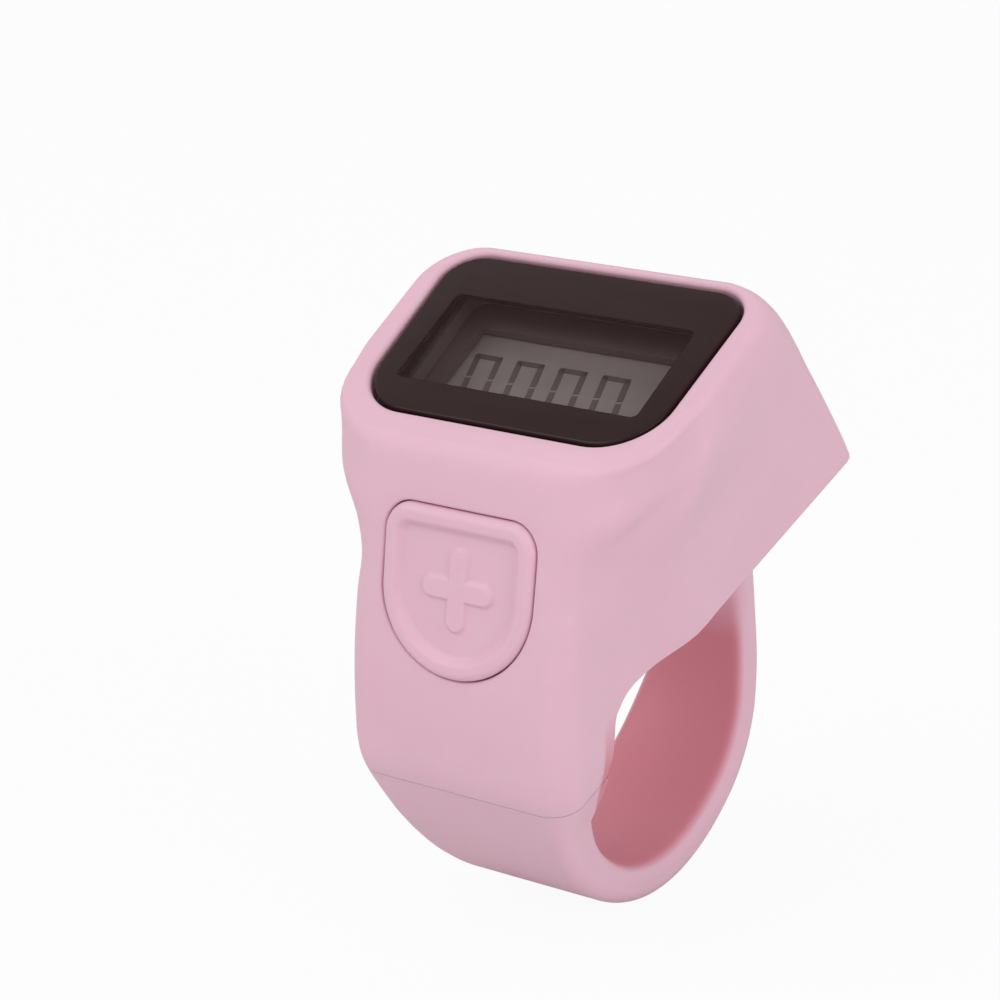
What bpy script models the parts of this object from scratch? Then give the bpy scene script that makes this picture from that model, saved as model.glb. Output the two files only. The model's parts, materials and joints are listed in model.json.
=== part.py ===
"""Digital finger tally counter: a finger ring that carries a tilted display head.

The origin is on the axis of the finger bore, halfway along it. X runs along that axis,
-Y is the front, where the count button is, and +Z is up. The display head is tilted, so
its pieces are placed in a tilted frame whose axes are x, u (up and back along the
window) and n (out of the window).
"""

import math

import bmesh
import bpy
from mathutils import Matrix, Vector

MM = 0.001

# Finger bore and band
BORE_RADIUS = 10.9 * MM
BAND_WALL = 2.2 * MM
BODY_WIDTH = 14.5 * MM
BAND_BOTTOM_WIDTH = 9.2 * MM
BAND_BACK_WIDTH = 5.4 * MM
FRONT_REACH = 15.0 * MM
FRONT_WALL = 5.2 * MM
ROOF_FILLET = 2.4 * MM
BODY_ROUND = 1.8 * MM
BAND_ROUND = 0.9 * MM

# Joint between the housing and the band
SEAM_ANGLE = math.radians(193.0)
SEAM_GAP = 0.1 * MM
SEAM_TONGUE = (8.6 * MM, 1.3 * MM, 2.2 * MM)

# Display head
HEAD_TILT = math.radians(29.5)
HEAD_WIDTH = 23.0 * MM
HEAD_TOP = 20.1 * MM
HEAD_ROOF = 6.6 * MM
HEAD_BACK = 12.4 * MM
HEAD_WALL = 1.2 * MM
HEAD_BACK_WALL = 1.8 * MM

# Window and display
WINDOW_LENGTH = 12.58 * MM
WINDOW_SIDE_RIM = 2.1 * MM
WINDOW_BACK_RIM = 1.62 * MM
WINDOW_TAPER = 0.25 * MM
WINDOW_ROUND = 3.4 * MM
WINDOW_BACK_ROUND = 2.3 * MM
WINDOW_BEVEL = 0.35 * MM
LENS_THICKNESS = 1.2 * MM
LENS_SUNK = 0.15 * MM
LENS_CLEARANCE = 0.15 * MM
LEDGE_WIDTH = 1.3 * MM
LEDGE_THICKNESS = 0.9 * MM
TAPE_THICKNESS = 0.12 * MM
DISPLAY_BACK_INSET = 1.2 * MM
GLASS_BORDER = (1.6 * MM, 1.19 * MM)
VIEW_BORDER = (0.7 * MM, 1.8 * MM)
GLASS_THICKNESS = 0.7 * MM
GLASS_STEP = 1.6 * MM
FILM_THICKNESS = 0.2 * MM
FRAME_WALL = 0.5 * MM
SEAT_GAP = 0.1 * MM
ZEBRA_WIDTH = 0.9 * MM
ZEBRA_INSET = 0.8 * MM

# Main board and what it carries
BOARD_TOP = 13.8 * MM
BOARD_THICKNESS = 0.8 * MM
BOARD_BORDER = (0.4 * MM, 0.6 * MM)
BOARD_ROUND = 0.8 * MM
BLOB_RADIUS = 2.2 * MM
BLOB_HEIGHT = 0.6 * MM
CRYSTAL_RADIUS = 0.6 * MM
CRYSTAL_LENGTH = 3.0 * MM
CHIP_SIZE = (1.0 * MM, 0.5 * MM, 0.5 * MM)
CHIP_PITCH = 1.3 * MM
CAPACITORS = 3
RESISTORS = 2

# Base plate, its screws and the button cell
PLATE_THICKNESS = 1.4 * MM
PLATE_CLEARANCE = 0.15 * MM
CELL_RADIUS = 3.95 * MM
CELL_HEIGHT = 3.6 * MM
CELL_CLEARANCE = 0.2 * MM
CELL_CENTRE = 2.4 * MM
CUP_WALL = 0.9 * MM
DOOR_RADIUS = 5.0 * MM
DOOR_FLANGE = 0.75 * MM
DOOR_GAP = 0.1 * MM
DOOR_TURN = math.radians(60.0)
LUG_REACH = 0.55 * MM
LUG_THICKNESS = 0.5 * MM
LUG_HALF_ANGLE = math.radians(15.0)
COIN_SLOT = (7.6 * MM, 1.2 * MM, 0.45 * MM)
SCREW_FRONT_INSET = (4.6 * MM, 2.2 * MM)
SCREW_BACK_INSET = (3.5 * MM, 1.7 * MM)
SCREW_RADIUS = 0.5 * MM
SCREW_HEAD_RADIUS = 0.95 * MM
SCREW_HEAD_HEIGHT = 0.6 * MM
SCREW_LENGTH = 4.6 * MM
SCREW_CROSS = (1.2 * MM, 0.3 * MM)
BOSS_RADIUS = 1.3 * MM
CONTACT_THICKNESS = 0.2 * MM
CONTACT_WIDTH = 2.2 * MM

# Count button and its switch
BUTTON_WIDTH = 9.6 * MM
BUTTON_HEIGHT = 9.7 * MM
BUTTON_CENTRE = 8.2 * MM
BUTTON_CLEARANCE = 0.2 * MM
BUTTON_LEAN = math.radians(6.3)
BUTTON_PROUD = 0.3 * MM
BUTTON_TRAVEL = 0.4 * MM
BUTTON_FLANGE = 0.45 * MM
BUTTON_LIP = 0.4 * MM
BUTTON_RIM = 1.3 * MM
BUTTON_DISH = 0.45 * MM
SKIN = 1.6 * MM
POCKET_CLEARANCE = 0.1 * MM
INNER_WALL = 0.9 * MM
SWITCH_BOARD_THICKNESS = 0.5 * MM
SWITCH_SIZE = 4.4 * MM
SWITCH_DEPTH = 0.8 * MM
PLUNGER_RADIUS = 1.0 * MM
PLUNGER_CLEARANCE = 0.1 * MM
PLUNGER_LENGTH = 0.55 * MM
NUB_RADIUS = 1.6 * MM
NUB_HEIGHT = 0.15 * MM
MARK_SIZE = (3.6 * MM, 1.1 * MM)
MARK_HEIGHT = 0.25 * MM
FLEX_THICKNESS = 0.15 * MM
FLEX_WIDTH = 3.2 * MM

OVERRUN = 4.0 * MM
FAR = 40.0 * MM
WELD = 0.002 * MM

# Levels of the head from its roof (0) to its top (1), each with the front face's reach as a
# share of FRONT_REACH; the half widths of the nose, of the box behind the neck and of the
# back as shares of half the head's; the neck's two ends and the front corner's radius as
# shares of the same; and the back's place and its corner's radius as shares of HEAD_BACK
HEAD_LEVEL_SHARES = (
    (-0.022, 0.993, 0.630, 0.804, 0.987, -0.570, -0.104, 0.157, 1.055, 0.050),
    (0.119, 1.000, 0.630, 0.811, 0.990, -0.574, -0.104, 0.157, 1.041, 0.060),
    (0.289, 0.997, 0.630, 0.822, 0.993, -0.574, -0.104, 0.161, 1.019, 0.077),
    (0.459, 0.983, 0.630, 0.848, 0.996, -0.565, -0.096, 0.178, 0.998, 0.103),
    (0.578, 0.967, 0.635, 0.896, 0.998, -0.539, -0.078, 0.217, 0.982, 0.129),
    (0.689, 0.950, 0.661, 0.948, 1.000, -0.470, -0.035, 0.296, 0.969, 0.157),
    (0.800, 0.935, 0.722, 0.987, 1.000, -0.348, 0.070, 0.417, 0.957, 0.194),
    (0.889, 0.921, 0.809, 0.987, 0.997, -0.209, 0.200, 0.487, 0.948, 0.230),
    (0.952, 0.903, 0.878, 0.970, 0.983, -0.130, 0.261, 0.461, 0.937, 0.258),
    (0.981, 0.887, 0.900, 0.957, 0.963, -0.117, 0.261, 0.426, 0.927, 0.274),
    (1.000, 0.863, 0.896, 0.934, 0.937, -0.117, 0.261, 0.383, 0.915, 0.274),
)
# Stations round the band: the angle in degrees, the outer radius as a share of the bore's
# radius and band wall together, and the width as a share from the back's to the body's
BAND_STATION_SHARES = (
    (205.0, 1.079, 0.73),
    (212.0, 1.057, 0.67),
    (220.0, 1.038, 0.61),
    (230.0, 1.019, 0.56),
    (242.0, 1.008, 0.53),
    (255.0, 1.004, 0.49),
    (270.0, 1.004, 0.44),
    (285.0, 1.004, 0.39),
    (300.0, 1.004, 0.35),
    (315.0, 1.004, 0.32),
    (330.0, 1.004, 0.25),
    (345.0, 1.004, 0.13),
    (360.0, 1.004, 0.02),
    (375.0, 1.004, 0.00),
    (390.0, 1.004, 0.00),
    (405.0, 1.004, 0.00),
    (420.0, 1.004, 0.00),
    (435.0, 1.004, 0.00),
)
BAND_BOTTOM_SHARE = 0.44
COLUMN_STEP_SHARE = -0.012
DISPLAY_LEVEL_SHARES = HEAD_LEVEL_SHARES[3]
LEVEL_STEPS = 2
SHOULDER_SHARES = (0.963, 0.98)
STATION_STEPS = 2
ARC_STEPS = 5
SIDE_STEPS = 9
ROUND_STEPS = 8

# Named places worked out from the sizes above
FRONT_INNER = FRONT_REACH - FRONT_WALL
BAND_RADIUS = BORE_RADIUS + BAND_WALL
HEAD_DEPTH = HEAD_TOP - HEAD_ROOF
HEAD_INSIDE_BACK = HEAD_BACK - HEAD_BACK_WALL
WINDOW_SIZE = (HEAD_WIDTH - 2 * WINDOW_SIDE_RIM, WINDOW_LENGTH)
WINDOW_CENTRE = HEAD_BACK - WINDOW_BACK_RIM - WINDOW_LENGTH / 2
GLASS_SIZE = [length - 2 * edge for length, edge in zip(WINDOW_SIZE, GLASS_BORDER)]
DISPLAY_CENTRE = HEAD_INSIDE_BACK - DISPLAY_BACK_INSET - GLASS_SIZE[1] / 2
VIEW_SIZE = [length - 2 * edge for length, edge in zip(GLASS_SIZE, VIEW_BORDER)]
BOARD_SIZE = [length + 2 * edge for length, edge in zip(GLASS_SIZE, BOARD_BORDER)]
SCREW_FRONT = (HEAD_WIDTH / 2 - SCREW_FRONT_INSET[0], CELL_CENTRE - SCREW_FRONT_INSET[1])
SCREW_BACK = (HEAD_WIDTH / 2 - SCREW_BACK_INSET[0], HEAD_INSIDE_BACK - SCREW_BACK_INSET[1])
LENS_TOP = HEAD_TOP - LENS_SUNK
LENS_BOTTOM = LENS_TOP - LENS_THICKNESS
LEDGE_TOP = LENS_BOTTOM - TAPE_THICKNESS - 2 * SEAT_GAP
LEDGE_BOTTOM = LEDGE_TOP - LEDGE_THICKNESS
FRAME_TOP = LEDGE_BOTTOM - SEAT_GAP
FILM_TOP = FRAME_TOP - FRAME_WALL - SEAT_GAP
FRONT_GLASS_TOP = FILM_TOP - FILM_THICKNESS - SEAT_GAP
REAR_GLASS_TOP = FRONT_GLASS_TOP - GLASS_THICKNESS - SEAT_GAP
REFLECTOR_TOP = REAR_GLASS_TOP - GLASS_THICKNESS - SEAT_GAP
BOARD_BOTTOM = BOARD_TOP - BOARD_THICKNESS
PLATE_TOP = HEAD_ROOF + PLATE_THICKNESS
LUG_BOTTOM = PLATE_TOP + DOOR_GAP
LUG_TOP = LUG_BOTTOM + LUG_THICKNESS
CELL_BOTTOM = LUG_TOP + SEAT_GAP
CELL_TOP = CELL_BOTTOM + CELL_HEIGHT
CUP_INNER = CELL_RADIUS + CELL_CLEARANCE
CUP_OUTER = CUP_INNER + CUP_WALL
BUTTON_FACE = -FRONT_REACH - BUTTON_PROUD
BUTTON_MIDDLE = BUTTON_FACE + BUTTON_HEIGHT / 2 * math.sin(BUTTON_LEAN)
SKIN_BACK = -FRONT_REACH + SKIN
FLANGE_FRONT = SKIN_BACK + SEAT_GAP
FLANGE_BACK = FLANGE_FRONT + BUTTON_FLANGE
NUB_BACK = FLANGE_BACK + NUB_HEIGHT
POCKET_BACK = -FRONT_INNER - INNER_WALL
SWITCH_BOARD_BACK = POCKET_BACK - SEAT_GAP
SWITCH_BOARD_FRONT = SWITCH_BOARD_BACK - SWITCH_BOARD_THICKNESS
SWITCH_BACK = SWITCH_BOARD_FRONT - SEAT_GAP
SWITCH_FRONT = SWITCH_BACK - SWITCH_DEPTH

PARTS = "digital_tally_counter"
CUTTERS = "cutters"

# World axes of outlines drawn in a plane and pulled along its normal
ALONG_X = Matrix(((0, 0, 1, 0), (1, 0, 0, 0), (0, 1, 0, 0), (0, 0, 0, 1)))
ALONG_Y = Matrix(((1, 0, 0, 0), (0, 0, -1, 0), (0, 1, 0, 0), (0, 0, 0, 1)))
UPRIGHT = Matrix.Identity(4)
ALONG_BUTTON = (
    Matrix.Translation((0.0, BUTTON_MIDDLE, BUTTON_CENTRE))
    @ Matrix.Rotation(-BUTTON_LEAN, 4, "X")
    @ Matrix.Translation((0.0, 0.0, -BUTTON_CENTRE))
    @ ALONG_Y
)

COLOURS = {
    "pink_plastic": ((0.71, 0.44, 0.55, 1.0), 0.42, 0.0),
    "smoked_window": ((0.03, 0.02, 0.02, 1.0), 0.08, 0.0),
    "black_plastic": ((0.03, 0.03, 0.03, 1.0), 0.5, 0.0),
    "display_glass": ((0.32, 0.33, 0.30, 1.0), 0.1, 0.0),
    "reflector_film": ((0.55, 0.55, 0.52, 1.0), 0.35, 0.6),
    "zebra_rubber": ((0.75, 0.45, 0.50, 1.0), 0.8, 0.0),
    "circuit_board": ((0.05, 0.25, 0.10, 1.0), 0.45, 0.0),
    "black_resin": ((0.02, 0.02, 0.02, 1.0), 0.35, 0.0),
    "bright_steel": ((0.70, 0.70, 0.72, 1.0), 0.25, 1.0),
    "ceramic_chip": ((0.45, 0.35, 0.25, 1.0), 0.5, 0.0),
    "amber_film": ((0.60, 0.32, 0.06, 1.0), 0.3, 0.0),
    "adhesive_tape": ((0.06, 0.06, 0.06, 1.0), 0.9, 0.0),
}


def clear_scene():
    """Remove what the file starts with."""
    for obj in list(bpy.data.objects):
        bpy.data.objects.remove(obj, do_unlink=True)
    for name in (PARTS, CUTTERS):
        bpy.context.scene.collection.children.link(bpy.data.collections.new(name))


def material(name):
    """Return the named Principled material, made once."""
    found = bpy.data.materials.get(name)
    if found:
        return found
    colour, roughness, metallic = COLOURS[name]
    made = bpy.data.materials.new(name)
    made.use_nodes = True
    shader = made.node_tree.nodes["Principled BSDF"]
    shader.inputs["Base Color"].default_value = colour
    shader.inputs["Roughness"].default_value = roughness
    shader.inputs["Metallic"].default_value = metallic
    return made


def tilted_frame():
    """Make the empty that carries the pieces of the head."""
    frame = bpy.data.objects.new("head_frame", None)
    bpy.data.collections[PARTS].objects.link(frame)
    frame.rotation_euler.x = HEAD_TILT
    return frame


def add_object(name, mesh, finish=None, parent=None):
    """Add a part, or a cutter where there is no finish."""
    obj = bpy.data.objects.new(name, mesh)
    bpy.data.collections[PARTS if finish else CUTTERS].objects.link(obj)
    obj.parent = parent
    if finish:
        mesh.materials.clear()
        mesh.materials.append(material(finish))
    else:
        obj.hide_render = True
        obj.display_type = "WIRE"
    return obj


def mesh_from(bm, name):
    """Turn a bmesh into mesh data with its normals outwards."""
    bmesh.ops.recalc_face_normals(bm, faces=bm.faces)
    mesh = bpy.data.meshes.new(name)
    bm.to_mesh(mesh)
    bm.free()
    return mesh


def box(name, low, high, finish=None, parent=None):
    """A box between two corners."""
    bm = bmesh.new()
    bmesh.ops.create_cube(bm, size=1.0)
    low, high = Vector(low), Vector(high)
    for vert in bm.verts:
        vert.co = Vector(a + (b - a) * (c + 0.5) for a, b, c in zip(low, high, vert.co))
    return add_object(name, mesh_from(bm, name), finish, parent)


def cylinder(name, radius, centre, low, high, finish=None, parent=None, turn=UPRIGHT, top=None):
    """A round bar along the turned z axis, between two heights over its centre."""
    bm = bmesh.new()
    end = radius if top is None else top
    bmesh.ops.create_cone(
        bm, cap_ends=True, segments=4 * ROUND_STEPS, radius1=radius, radius2=end, depth=high - low
    )
    bmesh.ops.translate(bm, verts=bm.verts, vec=(centre[0], centre[1], (low + high) / 2))
    bmesh.ops.transform(bm, matrix=turn, verts=bm.verts)
    return add_object(name, mesh_from(bm, name), finish, parent)


def prism(name, outline, low, high, finish=None, parent=None, turn=UPRIGHT):
    """A flat outline pulled along the turned z axis, between two heights."""
    curve = bpy.data.curves.new(name, "CURVE")
    curve.dimensions = "2D"
    curve.fill_mode = "BOTH"
    curve.extrude = (high - low) / 2
    spline = curve.splines.new("POLY")
    spline.points.add(len(outline) - 1)
    for point, (x, y) in zip(spline.points, outline):
        point.co = (x, y, 0.0, 1.0)
    spline.use_cyclic_u = True
    source = bpy.data.objects.new(name + "_outline", curve)
    bpy.context.scene.collection.objects.link(source)
    bpy.context.view_layer.update()
    evaluated = source.evaluated_get(bpy.context.evaluated_depsgraph_get())
    mesh = bpy.data.meshes.new_from_object(evaluated)
    bpy.data.objects.remove(source, do_unlink=True)
    bm = bmesh.new()
    bm.from_mesh(mesh)
    bpy.data.meshes.remove(mesh)
    bmesh.ops.remove_doubles(bm, verts=bm.verts, dist=WELD)
    bmesh.ops.translate(bm, verts=bm.verts, vec=(0, 0, (low + high) / 2))
    bmesh.ops.transform(bm, matrix=turn, verts=bm.verts)
    return add_object(name, mesh_from(bm, name), finish, parent)


def boolean(target, cutter, operation="DIFFERENCE"):
    """Cut or join one object with another."""
    modifier = target.modifiers.new(cutter.name, "BOOLEAN")
    modifier.operation = operation
    modifier.solver = "EXACT"
    modifier.object = cutter


def bevel(target, width, segments=1, angle=50.0):
    """Round the sharp edges of a piece."""
    modifier = target.modifiers.new("edges", "BEVEL")
    modifier.width = width
    modifier.segments = segments
    modifier.limit_method = "ANGLE"
    modifier.angle_limit = math.radians(angle)


def arc(centre, radius, start, end, steps):
    """Points on an arc, angles in radians."""
    return [
        (
            centre[0] + radius * math.cos(start + (end - start) * i / steps),
            centre[1] + radius * math.sin(start + (end - start) * i / steps),
        )
        for i in range(steps + 1)
    ]


def rounded_rectangle(size, radius, centre=(0.0, 0.0)):
    """Outline of a rectangle with round corners."""
    half_x, half_y = size[0] / 2 - radius, size[1] / 2 - radius
    corners = ((1, 1), (-1, 1), (-1, -1), (1, -1))
    points = []
    for index, (sx, sy) in enumerate(corners):
        middle = (centre[0] + sx * half_x, centre[1] + sy * half_y)
        start = index * math.pi / 2
        points += arc(middle, radius, start, start + math.pi / 2, ROUND_STEPS)
    return points


def window_outline(grow):
    """Outline of the window, wider and sharper at its back, grown by a margin."""
    half_x, half_u = [length / 2 + grow for length in WINDOW_SIZE]
    points = []
    for index, (sx, su) in enumerate(((1, 1), (-1, 1), (-1, -1), (1, -1))):
        radius = (WINDOW_BACK_ROUND if su > 0 else WINDOW_ROUND) + grow
        middle = (sx * (half_x - radius), su * (half_u - radius))
        start = index * math.pi / 2
        points += arc(middle, radius, start, start + math.pi / 2, ROUND_STEPS)
    widen = WINDOW_TAPER / (half_x * half_u)
    return [(x * (1 + widen * u), WINDOW_CENTRE + u) for x, u in points]


def to_world(u, n):
    """Turn a place in the head's frame into world y and z."""
    cosine, sine = math.cos(HEAD_TILT), math.sin(HEAD_TILT)
    return (u * cosine - n * sine, u * sine + n * cosine)


def to_head(y, z):
    """Turn world y and z into a place in the head's frame."""
    cosine, sine = math.cos(HEAD_TILT), math.sin(HEAD_TILT)
    return (y * cosine + z * sine, z * cosine - y * sine)


def eased(value):
    """A smooth step from 0 to 1."""
    value = min(max(value, 0.0), 1.0)
    return value * value * (3 - 2 * value)


def half_outline(start, end, half_at, front_round, back_round):
    """Half of a section, from its front middle round the side to its back middle."""
    first, last = start + front_round, end - back_round
    front = (half_at(first) - front_round, first)
    back = (half_at(last) - back_round, last)
    points = [(0.0, start)]
    points += arc(front, front_round, -math.pi / 2, 0.0, ARC_STEPS)
    for step in range(1, SIDE_STEPS):
        place = first + (last - first) * step / SIDE_STEPS
        points.append((half_at(place), place))
    points += arc(back, back_round, 0.0, math.pi / 2, ARC_STEPS)
    points.append((0.0, end))
    return points


def head_half_width(nose, wide, back, neck):
    """Half width of the head along u: narrow nose, neck, then a widening box."""
    start, end = neck
    def half_at(u):
        flare = eased((u - start) / (end - start))
        taper = min(max((u - end) / (HEAD_BACK - end), 0.0), 1.0)
        return nose + (wide + (back - wide) * taper - nose) * flare
    return half_at


def head_widths(share, inset=0.0):
    """The half width function of one level of the head, inset from its wall."""
    nose, wide, back = [HEAD_WIDTH / 2 * part - inset for part in share[2:5]]
    neck = [HEAD_WIDTH / 2 * part for part in share[5:7]]
    return head_half_width(nose, wide, back, neck)


def head_outline(share):
    """Half of one level of the head, in the head's frame."""
    level, reach = share[:2]
    n = HEAD_ROOF + HEAD_DEPTH * level
    start = (n * math.sin(HEAD_TILT) - FRONT_REACH * reach) / math.cos(HEAD_TILT)
    back = HEAD_BACK * share[8]
    front_round = HEAD_WIDTH / 2 * share[7]
    back_round = HEAD_BACK * share[9]
    points = half_outline(start, back, head_widths(share), front_round, back_round)
    return [(x, u, n) for x, u in points]


def between(outlines, index, part):
    """A level between two listed ones, on a smooth curve through those around it."""
    count = len(outlines) - 1
    picked = [outlines[min(max(index + shift, 0), count)] for shift in (-1, 0, 1, 2)]
    weights = (
        (-part + 2 * part ** 2 - part ** 3) / 2,
        (2 - 5 * part ** 2 + 3 * part ** 3) / 2,
        (part + 4 * part ** 2 - 3 * part ** 3) / 2,
        (part ** 3 - part ** 2) / 2,
    )
    return [
        tuple(sum(w * value for w, value in zip(weights, values)) for values in zip(*points))
        for points in zip(*picked)
    ]


def head_sections():
    """All levels of the head, from its top down, as points in the world."""
    outlines = [head_outline(share) for share in reversed(HEAD_LEVEL_SHARES)]
    levels = [
        between(outlines, index, step / LEVEL_STEPS)
        for index in range(len(outlines) - 1)
        for step in range(LEVEL_STEPS)
    ]
    levels.append(outlines[-1])
    return [[Vector((x, *to_world(u, n))) for x, u, n in level] for level in levels]


def shoulder_section(rise=0.0):
    """The section at the seam, half way from the head's tilt to the band's."""
    reach = FRONT_REACH * SHOULDER_SHARES[0]
    place = Vector((0.0, -reach, reach * math.tan(math.pi - SEAM_ANGLE) + rise))
    slope = (HEAD_TILT + math.radians(BAND_STATION_SHARES[0][0]) - math.pi) / 2
    inward = Vector((0.0, math.cos(slope), math.sin(slope)))
    depth = FRONT_WALL + OVERRUN
    half = BODY_WIDTH / 2 * SHOULDER_SHARES[1]
    points = half_outline(0.0, depth, lambda v: half, BODY_ROUND, BODY_ROUND)
    return [place + inward * v + Vector((x, 0.0, 0.0)) for x, v in points]


def band_section(share):
    """One station round the band."""
    degrees, outer_share, width_share = share
    angle = math.radians(degrees)
    outer = BAND_RADIUS * outer_share
    inner = BORE_RADIUS
    if math.cos(angle) < 0:
        inner = min(inner, FRONT_INNER / -math.cos(angle))
    if width_share > BAND_BOTTOM_SHARE:
        lean = (width_share - BAND_BOTTOM_SHARE) / (1 - BAND_BOTTOM_SHARE)
        width = BAND_BOTTOM_WIDTH + (BODY_WIDTH - BAND_BOTTOM_WIDTH) * lean
    else:
        lean = width_share / BAND_BOTTOM_SHARE
        width = BAND_BACK_WIDTH + (BAND_BOTTOM_WIDTH - BAND_BACK_WIDTH) * lean
    outward = Vector((0.0, math.cos(angle), math.sin(angle)))
    edge = min(BAND_ROUND, (outer - inner) * 0.45)
    points = half_outline(0.0, outer - inner, lambda v: width / 2, edge, edge)
    return [outward * (outer - v) + Vector((x, 0.0, 0.0)) for x, v in points]


def loft(name, halves):
    """Skin a mesh over sections given as halves, each closed by its mirror image."""
    bm = bmesh.new()
    rings = []
    for half in halves:
        mirrored = [Vector((-point.x, point.y, point.z)) for point in reversed(half[1:-1])]
        rings.append([bm.verts.new(point) for point in half + mirrored])
    for lower, upper in zip(rings, rings[1:]):
        count = len(lower)
        for i in range(count):
            j = (i + 1) % count
            bm.faces.new((lower[i], lower[j], upper[j], upper[i]))
    bm.faces.new(rings[0])
    bm.faces.new(list(reversed(rings[-1])))
    bmesh.ops.triangulate(bm, faces=bm.faces)
    return mesh_from(bm, name)


def housing_sections():
    """Sections of the housing's outside, from the head's top down to below the seam."""
    column = list(HEAD_LEVEL_SHARES[0])
    column[0] += COLUMN_STEP_SHARE
    column[3] = column[4] = column[2]
    level = [Vector((x, *to_world(u, n))) for x, u, n in head_outline(column)]
    sections = head_sections() + [level, shoulder_section()]
    return sections + [band_section(share) for share in BAND_STATION_SHARES[:2]]


def band_sections():
    """Sections of the band's outside, from just above the seam round to the head's back."""
    sections = [shoulder_section(BODY_ROUND / 2), shoulder_section()]
    for before, after in zip(BAND_STATION_SHARES, BAND_STATION_SHARES[1:]):
        for step in range(STATION_STEPS):
            part = step / STATION_STEPS
            sections.append(band_section([a + (b - a) * part for a, b in zip(before, after)]))
    sections.append(band_section(BAND_STATION_SHARES[-1]))
    return sections


def seam_point(radius, shift):
    """A point on the seam plane, moved along the band's run by a shift."""
    outward = (math.cos(SEAM_ANGLE), math.sin(SEAM_ANGLE))
    along = (-math.sin(SEAM_ANGLE), math.cos(SEAM_ANGLE))
    return (outward[0] * radius + along[0] * shift, outward[1] * radius + along[1] * shift)


def finger_space_outline():
    """Profile of the space under the housing: roof, front wall's inner face and seam."""
    up = -SEAM_GAP / 2
    seam_inner = seam_point(FRONT_INNER / -math.cos(SEAM_ANGLE), up)
    corner_u = (HEAD_ROOF * math.sin(HEAD_TILT) - FRONT_INNER) / math.cos(HEAD_TILT)
    corner = Vector(to_world(corner_u, HEAD_ROOF))
    turn = math.pi / 2 + HEAD_TILT
    tangent = ROOF_FILLET / math.tan(turn / 2)
    middle = (corner.x + ROOF_FILLET, corner.y - tangent)
    fillet = arc(middle, ROOF_FILLET, math.pi, math.pi / 2 + HEAD_TILT, ROUND_STEPS)
    points = [seam_point(FAR, up), (-FRONT_INNER, seam_inner[1])]
    points += fillet
    points += [to_world(FAR, HEAD_ROOF), (FAR, -FAR), (-FAR, -FAR)]
    return points


def band_keep_out_outline():
    """Profile of all that lies above the seam and above the base plate's underside."""
    down = SEAM_GAP / 2
    return [
        seam_point(FAR, down),
        seam_point(BORE_RADIUS / 2, down),
        to_world(0.0, HEAD_ROOF - SEAM_GAP),
        to_world(FAR, HEAD_ROOF - SEAM_GAP),
        to_world(FAR, FAR),
        (-FAR, FAR),
    ]


def front_step_outline():
    """Profile that squares the band's inner face to the front wall's below the seam."""
    start = math.radians(BAND_STATION_SHARES[0][0])
    low = FRONT_INNER * math.tan(start - math.pi)
    return [
        (-FRONT_INNER, -low),
        (-FRONT_INNER + BAND_WALL / 2, -low),
        (-BORE_RADIUS / 2, -low / 2),
        (-BORE_RADIUS / 2, BORE_RADIUS / 2),
        (-FRONT_INNER, BORE_RADIUS / 2),
    ]


def plan_outline(share, inset, start, end):
    """Plan of the head's inside at one level, inset from its wall."""
    half_at = head_widths(share, inset)
    side = half_outline(start, end, half_at, BODY_ROUND / 2, BODY_ROUND / 2)[1:-1]
    return side + [(-x, u) for x, u in reversed(side)]


CAVITY_FRONT = to_head(POCKET_BACK, BUTTON_CENTRE)[0]
PLATE_FRONT = CAVITY_FRONT + PLATE_CLEARANCE
PLATE_BACK = HEAD_INSIDE_BACK - PLATE_CLEARANCE


def button_outline(grow):
    """Shield outline of the count button: flat top, round bottom."""
    half = BUTTON_WIDTH / 2 + grow
    top = BUTTON_CENTRE + BUTTON_HEIGHT / 2 + grow
    bottom = BUTTON_CENTRE - BUTTON_HEIGHT / 2 - grow
    corner = BUTTON_WIDTH * 0.17 + grow
    top_arc = arc((half - corner, top - corner), corner, math.pi / 2, 0.0, ROUND_STEPS)
    waist = bottom + (top - bottom) * 0.52
    points = top_arc
    for step in range(1, 2 * ROUND_STEPS + 1):
        angle = math.pi / 2 * step / (2 * ROUND_STEPS)
        points.append((half * math.cos(angle), waist - (waist - bottom) * math.sin(angle)))
    right = points[:-1]
    return right + [(0.0, bottom)] + [(-x, z) for x, z in reversed(right)]


def make_body(head):
    """The housing and the band, two pieces of one outside, and the base plate."""
    housing = add_object("housing", loft("housing", housing_sections()), "pink_plastic")
    band = add_object("ring_band", loft("ring_band", band_sections()), "pink_plastic")

    space = prism("finger_space", finger_space_outline(), -FAR, FAR, turn=ALONG_X)
    boolean(housing, space)
    low, high = HEAD_ROOF - OVERRUN, BOARD_BOTTOM
    plan = plan_outline(HEAD_LEVEL_SHARES[0], HEAD_WALL, CAVITY_FRONT, HEAD_INSIDE_BACK)
    boolean(housing, prism("head_cavity", plan, low, high, parent=head))
    front = DISPLAY_CENTRE - GLASS_SIZE[1] / 2 - FRAME_WALL - 4 * SEAT_GAP
    low = BOARD_BOTTOM - 2 * SEAT_GAP
    plan = plan_outline(DISPLAY_LEVEL_SHARES, HEAD_WALL, front, HEAD_INSIDE_BACK)
    boolean(housing, prism("display_cavity", plan, low, LEDGE_BOTTOM, parent=head))
    make_button_pocket(housing)
    make_window_seat(housing, head)
    make_bosses(housing, head)
    tongue = tongue_box("tongue_pocket", SEAT_GAP)
    boolean(housing, tongue)

    keep_out = prism("above_band", band_keep_out_outline(), -FAR, FAR, turn=ALONG_X)
    boolean(band, keep_out)
    boolean(band, prism("front_step", front_step_outline(), -FAR, FAR, turn=ALONG_X))
    boolean(band, tongue_box("seam_tongue", 0.0), "UNION")
    make_base_plate(band, head)
    return housing, band


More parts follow.
